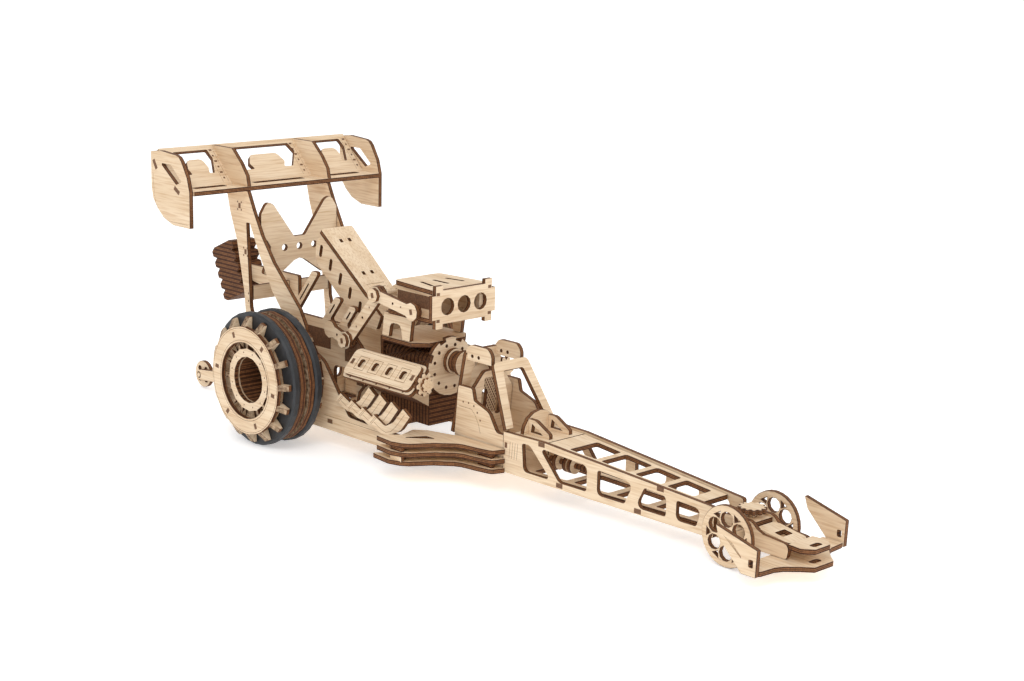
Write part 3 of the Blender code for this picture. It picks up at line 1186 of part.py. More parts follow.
def build_links(wood):
    """Both sides' links, tied by the shafts through their upper and lower heads."""
    pieces = []
    for side_name, side in SIDES:
        for label, start, end, layer in LINK_TABLE:
            outline = link_outline(start, end)
            span = Vector(end) - Vector(start)
            middle = Vector(start) + span / 2
            holes = [disc(middle.x, middle.y, PLY * 0.3, 6)]
            inner = LINK_INNER_Y + layer * (PLY - OVERLAP)
            pieces.append(upright(label, outline, holes, side, inner, wood))
    half = LINK_INNER_Y + PLY + OVERLAP
    for x, z in (LINK_TABLE[0][1], LINK_TABLE[1][2]):
        pieces.append(rod("shaft", LINK_SHAFT, Vector((x, -half, z)), Y_AXIS, 2 * half, wood, HOLE_SIDES))
    for side_name, side in SIDES:
        for x, z in (LINK_TABLE[0][1], LINK_TABLE[0][2]):
            outer = Vector((x, side * (LINK_INNER_Y + PLY * 2 - OVERLAP * 2), z))
            pieces.append(rod("boss", LINK_HEAD * 0.8, outer, Y_AXIS * side, PLY, wood, HOLE_SIDES))
        foot = Vector((LINK_TABLE[2][2][0], side * LINK_INNER_Y, LINK_TABLE[2][2][1]))
        pieces.append(rod("spacer", LINK_HEAD * 0.8, foot, Y_AXIS * side, PLY, wood, HOLE_SIDES))
    fuse("links", pieces)


SIDE_FINS = (
    # top (x, z) of each leaning fin, front one first
    (0.0350, 0.0925),
    (0.0192, 0.0960),
    (-0.0054, 0.1100),
)


def build_gearbox_plate(side_name, side, wood):
    """An inner plate that carries the axle and the lower link shaft, with three leaning fins on top."""
    low = FLOOR_Z + PLY + GAP
    points = [(GEARBOX_STEP[0], low, 0), (GEARBOX_X[1], low, 0), (GEARBOX_X[1], GEARBOX_TOP_Z - EDGE * 5, R_SMALL)]
    slots = []
    for x, z in SIDE_FINS:
        foot = x - (z - GEARBOX_TOP_Z) * math.tan(FIN_LEAN)
        points += [(foot + FIN_WIDTH, GEARBOX_TOP_Z, R_SMALL), (x + FIN_WIDTH, z, R_SMALL), (x, z, R_SMALL),
                   (foot, GEARBOX_TOP_Z, R_SMALL)]
        slots.append(rectangle((foot + x + FIN_WIDTH) / 2, (GEARBOX_TOP_Z + z) / 2, FIN_SLOT,
                               (z - GEARBOX_TOP_Z) / 2, 0, -FIN_LEAN))
    points += [(GEARBOX_X[0], GEARBOX_TOP_Z, R_MEDIUM), (GEARBOX_X[0], GEARBOX_STEP[1], R_MEDIUM),
               (GEARBOX_STEP[0], GEARBOX_STEP[1], 0)]
    shaft_x, shaft_z = LINK_TABLE[1][2]
    holes = [disc(0, REAR_RADIUS, AXLE_RADIUS + RUNNING, HOLE_SIDES), disc(shaft_x, shaft_z, LINK_SHAFT + GAP),
             rectangle(GEARBOX_X[1] * 0.55, REAR_RADIUS * 0.85, TAB * 4, TAB * 4, R_MEDIUM)]
    upright("gearbox_plate_" + side_name, rounded(points), holes + slots, side, GEARBOX_INNER_Y, wood)


# Parachute and wheelie bar

def build_rear(wood, cloth):
    # Scalloped parachute pack: rows of round folds
    rows = 5
    outline = []
    step = (PACK_Z[1] - PACK_Z[0]) / rows
    for k in range(rows):
        z = PACK_Z[0] + step * (k + 0.5)
        outline += arc(PACK_X[1], z, step / 2, -math.pi / 2, math.pi / 2, 3)
    for k in reversed(range(rows)):
        z = PACK_Z[0] + step * (k + 0.5)
        outline += arc(PACK_X[0], z, step / 2, math.pi / 2, math.pi * 3 / 2, 3)
    outline = [p for n, p in enumerate(outline) if n == 0 or (Vector(p) - Vector(outline[n - 1])).length > GAP / 10]
    pivot = Vector((PACK_X[1], PACK_HALF_Y, (PACK_Z[0] + PACK_Z[1]) / 2))
    outline = [(u - pivot.x, v - pivot.z) for u, v in outline]
    along = Vector((math.cos(PACK_LEAN), 0, math.sin(PACK_LEAN)))
    up = Vector((-math.sin(PACK_LEAN), 0, math.cos(PACK_LEAN)))
    plate("parachute_pack", outline, [], pivot, along, up, cloth, 2 * PACK_HALF_Y)
    arm = rounded([(PACK_X[1] + step + GAP, ARM_TAIL_Z, 0), (ARM_X[0], ARM_Z[0], 0), (ARM_X[1], ARM_Z[0], R_SMALL),
                   (ARM_X[1], ARM_Z[1], R_SMALL), (PACK_X[1] + step * 0.75 + GAP, ARM_Z[1], 0)])
    shelf_half = STRUT_OUTER_Y - PLY - GAP
    tail = upright("arm", arm, [], 1, -PLY / 2, wood)
    bar = across("bar", [(-shelf_half, BAR_Z[0]), (shelf_half, BAR_Z[0]), (shelf_half, BAR_Z[1]),
                         (-shelf_half, BAR_Z[1])], [], ARM_X[0], wood)
    fuse("parachute_arm", [tail, bar])
    # Wheelie bar: two arms from the rear bulkhead, tied by a cross piece, with a pin for the wheels
    for_pin = AXLE_RADIUS * 0.6
    arms = []
    for side in (-1, 1):
        outline = rounded([(SIDE_X[0] + EDGE, FLOOR_Z + PLY + GAP, 0), (SIDE_X[0] + EDGE, WHEELIE_ROOT_Z, 0),
                           (WHEELIE_KNEE_X, WHEELIE_KNEE_Z[1], R_LARGE), (WHEELIE_X, WHEELIE_Z + EDGE, R_MEDIUM),
                           (WHEELIE_X - EDGE * 1.4, WHEELIE_Z, R_MEDIUM), (WHEELIE_X, WHEELIE_Z - EDGE, R_MEDIUM),
                           (WHEELIE_KNEE_X, WHEELIE_KNEE_Z[0], R_LARGE), (FLOOR_X[0] - GAP, WHEELIE_KNEE_Z[0], 0),
                           (FLOOR_X[0] - GAP, FLOOR_Z + PLY + GAP, 0)])
        hole = disc(WHEELIE_X, WHEELIE_Z, for_pin + RUNNING)
        arms.append(upright("arm", outline, [hole], side, WHEELIE_ARM_Y - PLY, wood))
    tie_half = WHEELIE_ARM_Y - PLY + OVERLAP
    arms.append(across("tie", [(-tie_half, TIE_Z[0]), (tie_half, TIE_Z[0]), (tie_half, TIE_Z[1]),
                               (-tie_half, TIE_Z[1])], [], TIE_X, wood))
    fuse("wheelie_bar", arms)
    pin_half = WHEELIE_ARM_Y + GAP
    wheels = [rod("pin", for_pin, Vector((WHEELIE_X, -pin_half, WHEELIE_Z)), Y_AXIS, 2 * pin_half, wood, HOLE_SIDES)]
    for side_name, side in SIDES:
        holes = [disc(WHEELIE_X + WHEELIE_RADIUS * 0.55 * math.cos(t),
                      WHEELIE_Z + WHEELIE_RADIUS * 0.55 * math.sin(t), WHEELIE_RADIUS * 0.22, 6)
                 for t in [math.tau * (k + 0.5) / 4 for k in range(4)]]
        outline = disc(WHEELIE_X, WHEELIE_Z, WHEELIE_RADIUS, 20)
        wheels.append(upright("wheel", outline, holes, side, WHEELIE_ARM_Y - PLY * 2 - RUNNING, wood))
    fuse("wheelie_wheels", wheels)


def build():
    clear_scene()
    wood = make_material("birch_ply", (0.80, 0.62, 0.42), 0.6)
    dark = make_material("burnt_ply", (0.34, 0.19, 0.10), 0.7)
    rubber = make_material("black_rubber", (0.03, 0.03, 0.032), 0.7)
    for side_name, side in SIDES:
        build_gearbox_plate(side_name, side, wood)
        build_rear_wheel(side_name, side, wood, rubber)
        build_front_wheel(side_name, side, wood)
        build_rail(side_name, side, wood)
        build_pod(side_name, side, wood)
        build_headers(side_name, side, wood)
    build_rear_axle(wood)
    build_steering(wood)
    build_decks(wood)
    build_nose(wood)
    build_body(wood)
    build_cockpit(wood)
    build_engine(wood)
    build_blower(wood)
    build_wing(wood)
    build_struts(wood)
    build_lever(wood)
    build_links(wood)
    build_rear(wood, dark)


build()
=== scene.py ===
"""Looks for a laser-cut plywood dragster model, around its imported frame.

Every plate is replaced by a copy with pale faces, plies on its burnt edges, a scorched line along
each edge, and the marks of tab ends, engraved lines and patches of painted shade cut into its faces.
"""
import json
import math
from collections import defaultdict

import bmesh
import bpy
from mathutils import Matrix, Vector


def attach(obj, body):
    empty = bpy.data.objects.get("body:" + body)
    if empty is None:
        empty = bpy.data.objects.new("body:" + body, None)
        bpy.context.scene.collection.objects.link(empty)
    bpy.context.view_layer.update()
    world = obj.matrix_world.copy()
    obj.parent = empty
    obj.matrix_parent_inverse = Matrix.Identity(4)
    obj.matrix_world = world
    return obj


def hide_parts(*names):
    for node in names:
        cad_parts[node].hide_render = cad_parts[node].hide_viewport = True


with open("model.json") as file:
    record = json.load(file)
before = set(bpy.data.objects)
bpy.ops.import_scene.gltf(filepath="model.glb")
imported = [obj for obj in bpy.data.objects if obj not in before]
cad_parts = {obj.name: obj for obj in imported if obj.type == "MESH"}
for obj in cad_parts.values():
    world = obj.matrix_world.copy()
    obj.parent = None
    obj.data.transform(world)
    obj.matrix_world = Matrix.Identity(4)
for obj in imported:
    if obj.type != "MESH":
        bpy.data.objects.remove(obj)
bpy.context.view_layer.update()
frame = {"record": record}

scene = bpy.context.scene
behaviour = frame["record"]["behaviour"]

X_AXIS = Vector((1, 0, 0))
Y_AXIS = Vector((0, 1, 0))
Z_AXIS = Vector((0, 0, 1))
SIDES = (("left", 1), ("right", -1))
PLY = 0.0030

# Places are written from the rear axle, as on the part, and from the ground
joint_places = {joint["name"]: joint["pos_m"] for joint in behaviour["joints"]}
REAR_AXLE_X, _, REAR_RADIUS = joint_places["rear_axle_spin"]


def local(x, y, z):
    """A point given from the rear axle."""
    return Vector((x + REAR_AXLE_X, y, z))


# Colours
LIGHT = (0.82, 0.65, 0.46)
DARK = (0.66, 0.465, 0.29)
BURNT = (0.072, 0.027, 0.011)
VENEER = (0.38, 0.185, 0.078)
SCORCHED_LINE = (0.135, 0.060, 0.028)
# The tab ends' burnt colour, also used as painted shade in the gearbox plates' dark windows
TAB_END_AND_PAINTED_SHADE = (0.20, 0.095, 0.045)
ENGRAVED_LINE = (0.36, 0.20, 0.10)
RUBBER_DARK = (0.012, 0.013, 0.015)
RUBBER_LIGHT = (0.028, 0.030, 0.034)
WHITE = (1, 1, 1)

# Noise scales, per metre: wood along and across its grain, and burn marks along an edge and through it
GRAIN_ALONG = 45
GRAIN_ACROSS = 900
FIGURE_SHARE = 0.14
STREAK_STRETCH = (1100, 0.8, 1)
BLOTCH_STRETCH = (90, 0.5, 1)
CHAR_SCALE = 420
MOTTLE_SCALE = 900
RUBBER_FINE_SCALE = 1400
RUBBER_CLOUD_SCALE = 120

# Roughness and specular level
BIRCH_SURFACE = (0.62, 0.28)
EDGE_SURFACE = (0.7, 0.25)
LATTICE_SURFACE = (0.7, 0.5)
SCORCH_SURFACE = (0.75, 0.5)
RUBBER_SURFACE = (0.5, 0.5)
FLOOR_SURFACE = (0.9, 0.1)

# Bumps: (strength, height in metres)
GRAIN_BUMP = (0.25, 0.0001)
STREAK_BUMP = (0.3, 0.0001)
RUBBER_BUMP = (0.35, 0.00005)

# How strongly one layer of colour multiplies the one below it
FIGURE_STRENGTH = 0.75
STREAK_STRENGTH = 0.8
BLOTCH_STRENGTH = 0.7


def shade(colour, share):
    return tuple(channel * share for channel in colour)


def grey(value):
    return (value, value, value)


# Shader helpers

def new_material(name, surface):
    material = bpy.data.materials.new(name)
    material.use_nodes = True
    tree = material.node_tree
    shader = tree.nodes["Principled BSDF"]
    roughness, specular = surface
    shader.inputs["Roughness"].default_value = roughness
    shader.inputs["Specular IOR Level"].default_value = specular
    return material, tree, shader


def object_coords(tree):
    return tree.nodes.new("ShaderNodeTexCoord").outputs["Object"]


def noise(tree, coords, scale, detail=3.0, stretch=(1, 1, 1)):
    mapping = tree.nodes.new("ShaderNodeMapping")
    mapping.inputs["Scale"].default_value = stretch
    tree.links.new(coords, mapping.inputs["Vector"])
    node = tree.nodes.new("ShaderNodeTexNoise")
    node.inputs["Scale"].default_value = scale
    node.inputs["Detail"].default_value = detail
    tree.links.new(mapping.outputs["Vector"], node.inputs["Vector"])
    return node.outputs["Fac"]


def ramp(tree, value, stops):
    node = tree.nodes.new("ShaderNodeValToRGB")
    elements = node.color_ramp.elements
    while len(elements) < len(stops):
        elements.new(0.5)
    for element, (position, colour) in zip(elements, stops):
        element.position = position
        element.color = (*colour, 1)
    tree.links.new(value, node.inputs["Fac"])
    return node.outputs["Color"]


def mix(tree, kind, factor, a, b):
    """Mix two colours or sockets. The mix node's colour inputs are its sockets 6 and 7."""
    node = tree.nodes.new("ShaderNodeMix")
    node.data_type = "RGBA"
    node.blend_type = kind
    if isinstance(factor, (int, float)):
        node.inputs["Factor"].default_value = factor
    else:
        tree.links.new(factor, node.inputs["Factor"])
    for socket, source in ((node.inputs[6], a), (node.inputs[7], b)):
        if isinstance(source, tuple):
            socket.default_value = (*source, 1)
        else:
            tree.links.new(source, socket)
    return node.outputs[2]


def calculate(tree, operation, *values):
    node = tree.nodes.new("ShaderNodeMath")
    node.operation = operation
    for socket, value in zip(node.inputs, values):
        if isinstance(value, (int, float)):
            socket.default_value = value
        else:
            tree.links.new(value, socket)
    return node.outputs["Value"]


def split_xyz(tree, vector):
    split = tree.nodes.new("ShaderNodeSeparateXYZ")
    tree.links.new(vector, split.inputs["Vector"])
    return split.outputs


def bump(tree, shader, height, size):
    node = tree.nodes.new("ShaderNodeBump")
    strength, distance = size
    node.inputs["Strength"].default_value = strength
    node.inputs["Distance"].default_value = distance
    tree.links.new(height, node.inputs["Height"])
    tree.links.new(node.outputs["Normal"], shader.inputs["Normal"])


# Materials. Stops are (share, colour)

GRAIN_STOPS = ((0.30, DARK), (0.56, LIGHT))
FIGURE_STOPS = ((0.30, (0.86, 0.80, 0.72)), (0.62, WHITE))


def face_material(name, stretch):
    """Pale birch face: long fine grain and soft figure."""
    material, tree, shader = new_material(name, BIRCH_SURFACE)
    coords = object_coords(tree)
    fine = noise(tree, coords, 1.0, 4.0, stretch)
    figure = noise(tree, coords, 1.0, 2.0, shade(stretch, FIGURE_SHARE))
    base = ramp(tree, fine, GRAIN_STOPS)
    tone = ramp(tree, figure, FIGURE_STOPS)
    colour = mix(tree, "MULTIPLY", FIGURE_STRENGTH, base, tone)
    tree.links.new(colour, shader.inputs["Base Color"])
    bump(tree, shader, fine, GRAIN_BUMP)
    return material


# The rear wheels' faces. Engraved rings: (radius, half width), then a ring of dots
WHEEL_RINGS = ((0.0269, 0.00013), (0.0348, 0.00013), (0.0361, 0.00028))
WHEEL_DOT_RADIUS = 0.0184
WHEEL_DOT_HALF = 0.00045
WHEEL_DOT_COUNT = 12
WHEEL_DOT_SHARE = 0.045
# Dark streaky zones: past the last ring, and between the hub and the ring
WHEEL_GROOVE_RADIUS = 0.0233
WHEEL_GROOVE_HALF = 0.0023
FIN_STOPS = ((0.30, BURNT), (0.62, shade(DARK, 0.62)), (0.80, DARK))
WHEEL_LINE = shade(BURNT, 1.9)


def wheel_material(name, stretch):
    """A birch face with engraved rings, a ring of dots and dark streaky fins."""
    material = face_material(name, stretch)
    tree = material.node_tree
    base_input = tree.nodes["Principled BSDF"].inputs["Base Color"]
    base = base_input.links[0].from_socket
    coords = object_coords(tree)
    place = split_xyz(tree, coords)
    dx = calculate(tree, "SUBTRACT", place["X"], REAR_AXLE_X)
    dz = calculate(tree, "SUBTRACT", place["Z"], REAR_RADIUS)
    squares = [calculate(tree, "MULTIPLY", d, d) for d in (dx, dz)]
    radius = calculate(tree, "SQRT", calculate(tree, "ADD", *squares))
    angle = calculate(tree, "ARCTAN2", dz, dx)
    turn = calculate(tree, "FRACT", calculate(tree, "MULTIPLY", angle, WHEEL_DOT_COUNT / math.tau))
    lines = calculate(tree, "MULTIPLY", calculate(tree, "COMPARE", turn, 0.5, WHEEL_DOT_SHARE),
                      calculate(tree, "COMPARE", radius, WHEEL_DOT_RADIUS, WHEEL_DOT_HALF))
    for ring, half in WHEEL_RINGS:
        lines = calculate(tree, "MAXIMUM", lines, calculate(tree, "COMPARE", radius, ring, half))
    past_ring = calculate(tree, "GREATER_THAN", radius, WHEEL_RINGS[-1][0])
    groove = calculate(tree, "COMPARE", radius, WHEEL_GROOVE_RADIUS, WHEEL_GROOVE_HALF)
    dark_zones = calculate(tree, "MAXIMUM", past_ring, groove)
    streaks = noise(tree, coords, 1.0, 3.0, grey(CHAR_SCALE))
    fin = ramp(tree, streaks, FIN_STOPS)
    colour = mix(tree, "MIX", dark_zones, base, fin)
    colour = mix(tree, "MIX", lines, colour, WHEEL_LINE)
    tree.links.new(colour, base_input)
    return material


LATTICE_SLOPE = 0.6
LATTICE_PER_METRE = 480
LATTICE_STRIP_SHARE = 0.36
LATTICE_STRIP = shade(DARK, 0.8)


def lattice_material(name):
    """A sheet painted with a fine diamond lattice: its dark cells are painted shade for the openings."""
    material, tree, shader = new_material(name, LATTICE_SURFACE)
    place = split_xyz(tree, object_coords(tree))
    climb = calculate(tree, "MULTIPLY", place["Z"], LATTICE_SLOPE)
    strips = []
    for operation in ("ADD", "SUBTRACT"):
        way = calculate(tree, operation, place["Y"], climb)
        repeat = calculate(tree, "FRACT", calculate(tree, "MULTIPLY", way, LATTICE_PER_METRE))
        strips.append(calculate(tree, "LESS_THAN", repeat, LATTICE_STRIP_SHARE))
    # Outside the strips the cells take the burnt colour as painted shade, for the dark seen through the
    # lattice's openings
    colour = mix(tree, "MIX", calculate(tree, "MAXIMUM", *strips), BURNT, LATTICE_STRIP)
    tree.links.new(colour, shader.inputs["Base Color"])
    return material


# A sheet's plies from one face to the other, and the burn marks over them
PLY_STOPS = ((0.0, BURNT), (0.26, BURNT), (0.36, VENEER), (0.46, BURNT), (0.56, BURNT), (0.66, VENEER),
             (0.76, BURNT), (1.0, BURNT))
STREAK_STOPS = ((0.30, (0.55, 0.50, 0.46)), (0.66, (1.2, 1.12, 1.02)))
BLOTCH_STOPS = ((0.34, (0.72, 0.66, 0.60)), (0.62, (1.15, 1.1, 1.05)))


def edge_material(name):
    """Laser-burnt edge: dark outer veneers, lighter lines between the plies and fine burn marks."""
    material, tree, shader = new_material(name, EDGE_SURFACE)
    uv = tree.nodes.new("ShaderNodeUVMap")
    uv.uv_map = "ply"
    through = calculate(tree, "FRACT", split_xyz(tree, uv.outputs["UV"])["Y"])
    plies = ramp(tree, through, PLY_STOPS)
    streaks = noise(tree, uv.outputs["UV"], 1.0, 3.0, STREAK_STRETCH)
    blotch = noise(tree, uv.outputs["UV"], 1.0, 2.0, BLOTCH_STRETCH)
    colour = mix(tree, "MULTIPLY", STREAK_STRENGTH, plies, ramp(tree, streaks, STREAK_STOPS))
    colour = mix(tree, "MULTIPLY", BLOTCH_STRENGTH, colour, ramp(tree, blotch, BLOTCH_STOPS))
    tree.links.new(colour, shader.inputs["Base Color"])
    bump(tree, shader, streaks, STREAK_BUMP)
    return material


# Where a scorched colour is darkest and full, and how dark it gets
MOTTLE_SHARES = (0.35, 0.65)
MOTTLE_DARKEST = 0.6


def scorch_material(name, colour):
    material, tree, shader = new_material(name, SCORCH_SURFACE)
    mottled = noise(tree, object_coords(tree), MOTTLE_SCALE)
    tone = ramp(tree, mottled, tuple(zip(MOTTLE_SHARES, (shade(colour, MOTTLE_DARKEST), colour))))
    tree.links.new(tone, shader.inputs["Base Color"])
    return material


RUBBER_STOPS = ((0.3, RUBBER_DARK), (0.7, RUBBER_LIGHT))
RUBBER_ROUGHNESS_STOPS = ((0.3, grey(0.42)), (0.7, grey(0.62)))


def rubber_material(name):
    material, tree, shader = new_material(name, RUBBER_SURFACE)
    coords = object_coords(tree)
    fine = noise(tree, coords, RUBBER_FINE_SCALE)
    cloud = noise(tree, coords, RUBBER_CLOUD_SCALE)
    tree.links.new(ramp(tree, cloud, RUBBER_STOPS), shader.inputs["Base Color"])
    tree.links.new(ramp(tree, fine, RUBBER_ROUGHNESS_STOPS), shader.inputs["Roughness"])
    bump(tree, shader, fine, RUBBER_BUMP)
    return material


LENGTHWISE = (GRAIN_ALONG, GRAIN_ACROSS, GRAIN_ACROSS)
CROSSWISE = (GRAIN_ACROSS, GRAIN_ALONG, GRAIN_ACROSS)
face_x = face_material("birch_face_lengthwise", LENGTHWISE)
face_y = face_material("birch_face_crosswise", CROSSWISE)
edge = edge_material("burnt_edge")
rubber = rubber_material("band_rubber")
# Every dressed plate has all of these, in the order of the indices below
MATERIALS = (face_x, edge, face_y, scorch_material("scorched_line", SCORCHED_LINE),
             scorch_material("tab_end_and_painted_shade", TAB_END_AND_PAINTED_SHADE), scorch_material("engraved_line", ENGRAVED_LINE),
             lattice_material("seat_lattice"), wheel_material("wheel_face", LENGTHWISE))
ON_FACE_X, ON_EDGE, ON_FACE_Y, ON_SCORCH, ON_TAB_END_AND_SHADE, ON_ENGRAVED, ON_LATTICE, ON_WHEEL = range(len(MATERIALS))


# Marks: rectangles cut into flat faces, with their own material

# How far a face may tilt from a mark that it takes, as a cosine, and how far it may lie from it
SEAT_TILT = 0.97
MARK_TILT = 0.99
MARK_DEPTH = 0.00012
CUT_DISTANCE = 0.000001
SEAT_TIE = 0.00001
MARKS = defaultdict(list)


def add_mark(node, centre, normal, along, length, width, index=ON_TAB_END_AND_SHADE, seated=False, probe=0.0):
    """Put a rectangle on a node: a tab's end, a dot, a piece of an engraved line or a patch of painted
    shade.

    It moves out to the outermost face under it, unless it is seated. A probe finds that face at
    this distance along the mark instead, where a hole is under its centre.
    """
    normal = Vector(normal).normalized()
    along = Vector(along).normalized()
    MARKS[node].append({"centre": local(*centre), "normal": normal, "along": along,
                        "across": normal.cross(along), "half": (length / 2, width / 2), "index": index,
                        "seated": seated, "probe": probe})


def side_line(node, side, points, width, index=ON_ENGRAVED, y=None):
    """Marks on an upright plate's outer face along the lines between (x, z) points."""
    for (x0, z0), (x1, z1) in zip(points[:-1], points[1:]):
        centre = ((x0 + x1) / 2, side * (y or 0), (z0 + z1) / 2)
        add_mark(node, centre, (0, side, 0), (x1 - x0, 0, z1 - z0), math.hypot(x1 - x0, z1 - z0), width,
                 index, seated=y is not None)


def side_patch(node, side, x, z, length, height, index=ON_TAB_END_AND_SHADE):
    """A level rectangle on an upright plate's outer face."""
    add_mark(node, (x, 0, z), (0, side, 0), (1, 0, 0), length, height, index)


# Sizes that several marks share
LINE = 0.0003
THIN_LINE = 0.0002
BORDER_LINE = 0.00026
DOT = 0.0012
TAB_LENGTH = 0.0052

# Level patches on the upright plates: (node, x, z, length, height)
SIDE_PATCHES = (
    ("rail", 0.2145, 0.0372, TAB_LENGTH, PLY), ("rail", 0.3064, 0.0308, TAB_LENGTH, PLY),
    ("rail", 0.2297, 0.0150, TAB_LENGTH, PLY), ("rail", 0.2903, 0.0137, TAB_LENGTH, PLY),
    # The gearbox plates' three large patches are painted shade: dark windows where cut-outs would show the
    # shaded gears behind
    ("gearbox_plate", 0.0015, 0.0660, 0.0270, 0.0130), ("gearbox_plate", 0.0400, 0.0620, 0.0200, 0.0150),
    ("gearbox_plate", 0.0425, 0.0450, 0.0150, 0.0090),
    ("body_side", 0.0150, 0.0190, TAB_LENGTH, PLY), ("body_side", 0.0360, 0.0172, TAB_LENGTH, PLY),
    ("cockpit_cheek", 0.1460, 0.0501, DOT, DOT), ("cockpit_cheek", 0.1509, 0.0502, DOT, DOT),
    ("cockpit_cheek", 0.1558, 0.0492, DOT, DOT), ("cockpit_cheek", 0.1590, 0.0456, DOT, DOT),
    ("cockpit_cheek", 0.1617, 0.0412, DOT, DOT),
)
# The dark panel on the scoop's side: x, z, length and height
SCOOP_PANEL = (0.0960, 0.1065, 0.0320, 0.0085)
# Lines on the upright plates: (node, width, material, (x, z) points)
SIDE_LINES = (
    ("rail", 0.0022, ON_TAB_END_AND_SHADE, ((0.1852, 0.0290), (0.1852, 0.0325))),
    ("wing_end_plate", PLY, ON_TAB_END_AND_SHADE, ((-0.1003, 0.1794), (-0.0966, 0.1734))),
    ("wing_end_plate", PLY, ON_TAB_END_AND_SHADE, ((-0.0760, 0.1632), (-0.0700, 0.1597))),
    ("wing_end_plate", BORDER_LINE, ON_ENGRAVED,
     ((-0.1008, 0.1700), (-0.1006, 0.1625), (-0.0987, 0.1500), (-0.0932, 0.1431), (-0.0840, 0.1394),
      (-0.0610, 0.1395))),
    ("body_side", LINE, ON_ENGRAVED, ((0.0300, 0.0205), (0.0880, 0.0205))),
    ("cockpit_cheek", LINE, ON_ENGRAVED,
     ((0.1425, 0.0468), (0.1535, 0.0468), (0.1568, 0.0440), (0.1602, 0.0385), (0.1620, 0.0330))),
)


def mark_patches(side_name, side):
    for node, x, z, length, height in SIDE_PATCHES:
        side_patch(f"{node}_{side_name}", side, x, z, length, height)
    side_patch("scoop_box", side, *SCOOP_PANEL)


def mark_lines(side_name, side):
    for node, width, index, points in SIDE_LINES:
        side_line(f"{node}_{side_name}", side, points, width, index)


# The crosses on the struts with the dots about each, and two dots below them
CROSSES = ((-0.0677, 0.1477), (-0.0612, 0.1165))
LOWER_DOTS = ((-0.0581, 0.0826), (-0.0581, 0.0878))
CROSS_WIDTH = 0.0026
CROSS_HALF_HEIGHT = 0.0018
CROSS_DOT_SIZE = (0.0012, 0.0013)
CROSS_DOT_OFFSET = (0.0021, 0.0026)


def mark_struts(side_name, side):
    strut = "strut_" + side_name
    for x, z in CROSSES:
        ends = ((x, z + CROSS_HALF_HEIGHT), (x, z - CROSS_HALF_HEIGHT))
        side_line(strut, side, ends, CROSS_WIDTH, ON_TAB_END_AND_SHADE)
        for dx, dz in ((-1, -1), (-1, 1), (1, -1), (1, 1)):
            side_patch(strut, side, x + dx * CROSS_DOT_OFFSET[0], z + dz * CROSS_DOT_OFFSET[1],
                       *CROSS_DOT_SIZE)
    for x, z in LOWER_DOTS:
        side_patch(strut, side, x, z, *CROSS_DOT_SIZE)


# Short strokes: how many, the first one's (x, z) ends, and the step of each end to the next stroke
RAIL_STROKES = (4, ((0.1880, 0.0230), (0.1888, 0.0335)), ((0.0021, 0), (0.0021, 0)))
NOSE_STROKES = (5, ((0.3860, 0.0165), (0.3735, 0.0262)), ((0, 0.0002), (0.0014, -0.0006)))


def mark_strokes(node, side, strokes, width):
    count, ends, steps = strokes
    for k in range(count):
        points = [(x + dx * k, z + dz * k) for (x, z), (dx, dz) in zip(ends, steps)]
        side_line(node, side, points, width)


# The foremost header pipe's lines, two across its outlet and one along its bend, and its outer face.
# Each pipe behind it is set back, up and inwards
HEADER_LINES = (
    ((0.0871, 0.0283), (0.0924, 0.0335)), ((0.0881, 0.0279), (0.0934, 0.0331)),
    ((0.0908, 0.0297), (0.0985, 0.0262), (0.1025, 0.0254), (0.1075, 0.0270), (0.1125, 0.0313),
     (0.1205, 0.0405)),
)
HEADER_COUNT = 4
HEADER_FACE_Y = 0.0474
HEADER_PITCH = 0.0131
HEADER_DROP = 0.0018
HEADER_STEP = 0.0016


def mark_headers(side_name, side):
    for k in range(HEADER_COUNT):
        for line in HEADER_LINES:
            points = [(x - k * HEADER_PITCH, z + k * HEADER_DROP) for x, z in line]
            side_line("headers_" + side_name, side, points, LINE, y=HEADER_FACE_Y - k * HEADER_STEP)


# A valve cover's sloping face runs between these (y, z) lines
COVER_FOOT = (0.0420, 0.0505)
COVER_TOP = (0.0270, 0.0670)
COVER_MIDDLE_X = 0.0880
COVER_LINE_LENGTH = 0.0540
COVER_LINE = 0.00024
COVER_LINE_SHARES = (0.12, 0.88)
# The frames about its four slots: a larger engraved rectangle under a smaller plain one
FRAME_COUNT = 4
FRAME_X = 0.0676
FRAME_PITCH = 0.0136
FRAME_SIZES = (((0.0092, 0.0100), ON_ENGRAVED), ((0.0084, 0.0092), ON_FACE_X))
COVER_TAB_X = (0.0587, 0.1172)
COVER_TAB_SIZE = (0.0028, 0.0040)
BOLT_X = 0.0620
BOLT_PITCH = 0.0130
BOLT_COUNT = 5
BOLT_SIZE = (0.0016, 0.0012)
BOLT_SHARES = (0.06, 0.94)


def mark_valve_cover(side_name, side):
    dy, dz = COVER_TOP[0] - COVER_FOOT[0], COVER_TOP[1] - COVER_FOOT[1]

    def cover_mark(x, share, size, index=ON_TAB_END_AND_SHADE, probe=0.0):
        centre = (x, side * (COVER_FOOT[0] + dy * share), COVER_FOOT[1] + dz * share)
        add_mark("cylinder_head_" + side_name, centre, (0, side * dz, -dy), (1, 0, 0), *size, index,
                 probe=probe)

    for share in COVER_LINE_SHARES:
        cover_mark(COVER_MIDDLE_X, share, (COVER_LINE_LENGTH, COVER_LINE), ON_ENGRAVED)
    for k in range(FRAME_COUNT):
        for size, index in FRAME_SIZES:
            cover_mark(FRAME_X + k * FRAME_PITCH, 0.5, size, index, probe=FRAME_PITCH / 2)
    for x in COVER_TAB_X:
        cover_mark(x, 0.5, COVER_TAB_SIZE)
    for k in range(BOLT_COUNT):
        for share in BOLT_SHARES:
            cover_mark(BOLT_X + k * BOLT_PITCH, share, BOLT_SIZE)


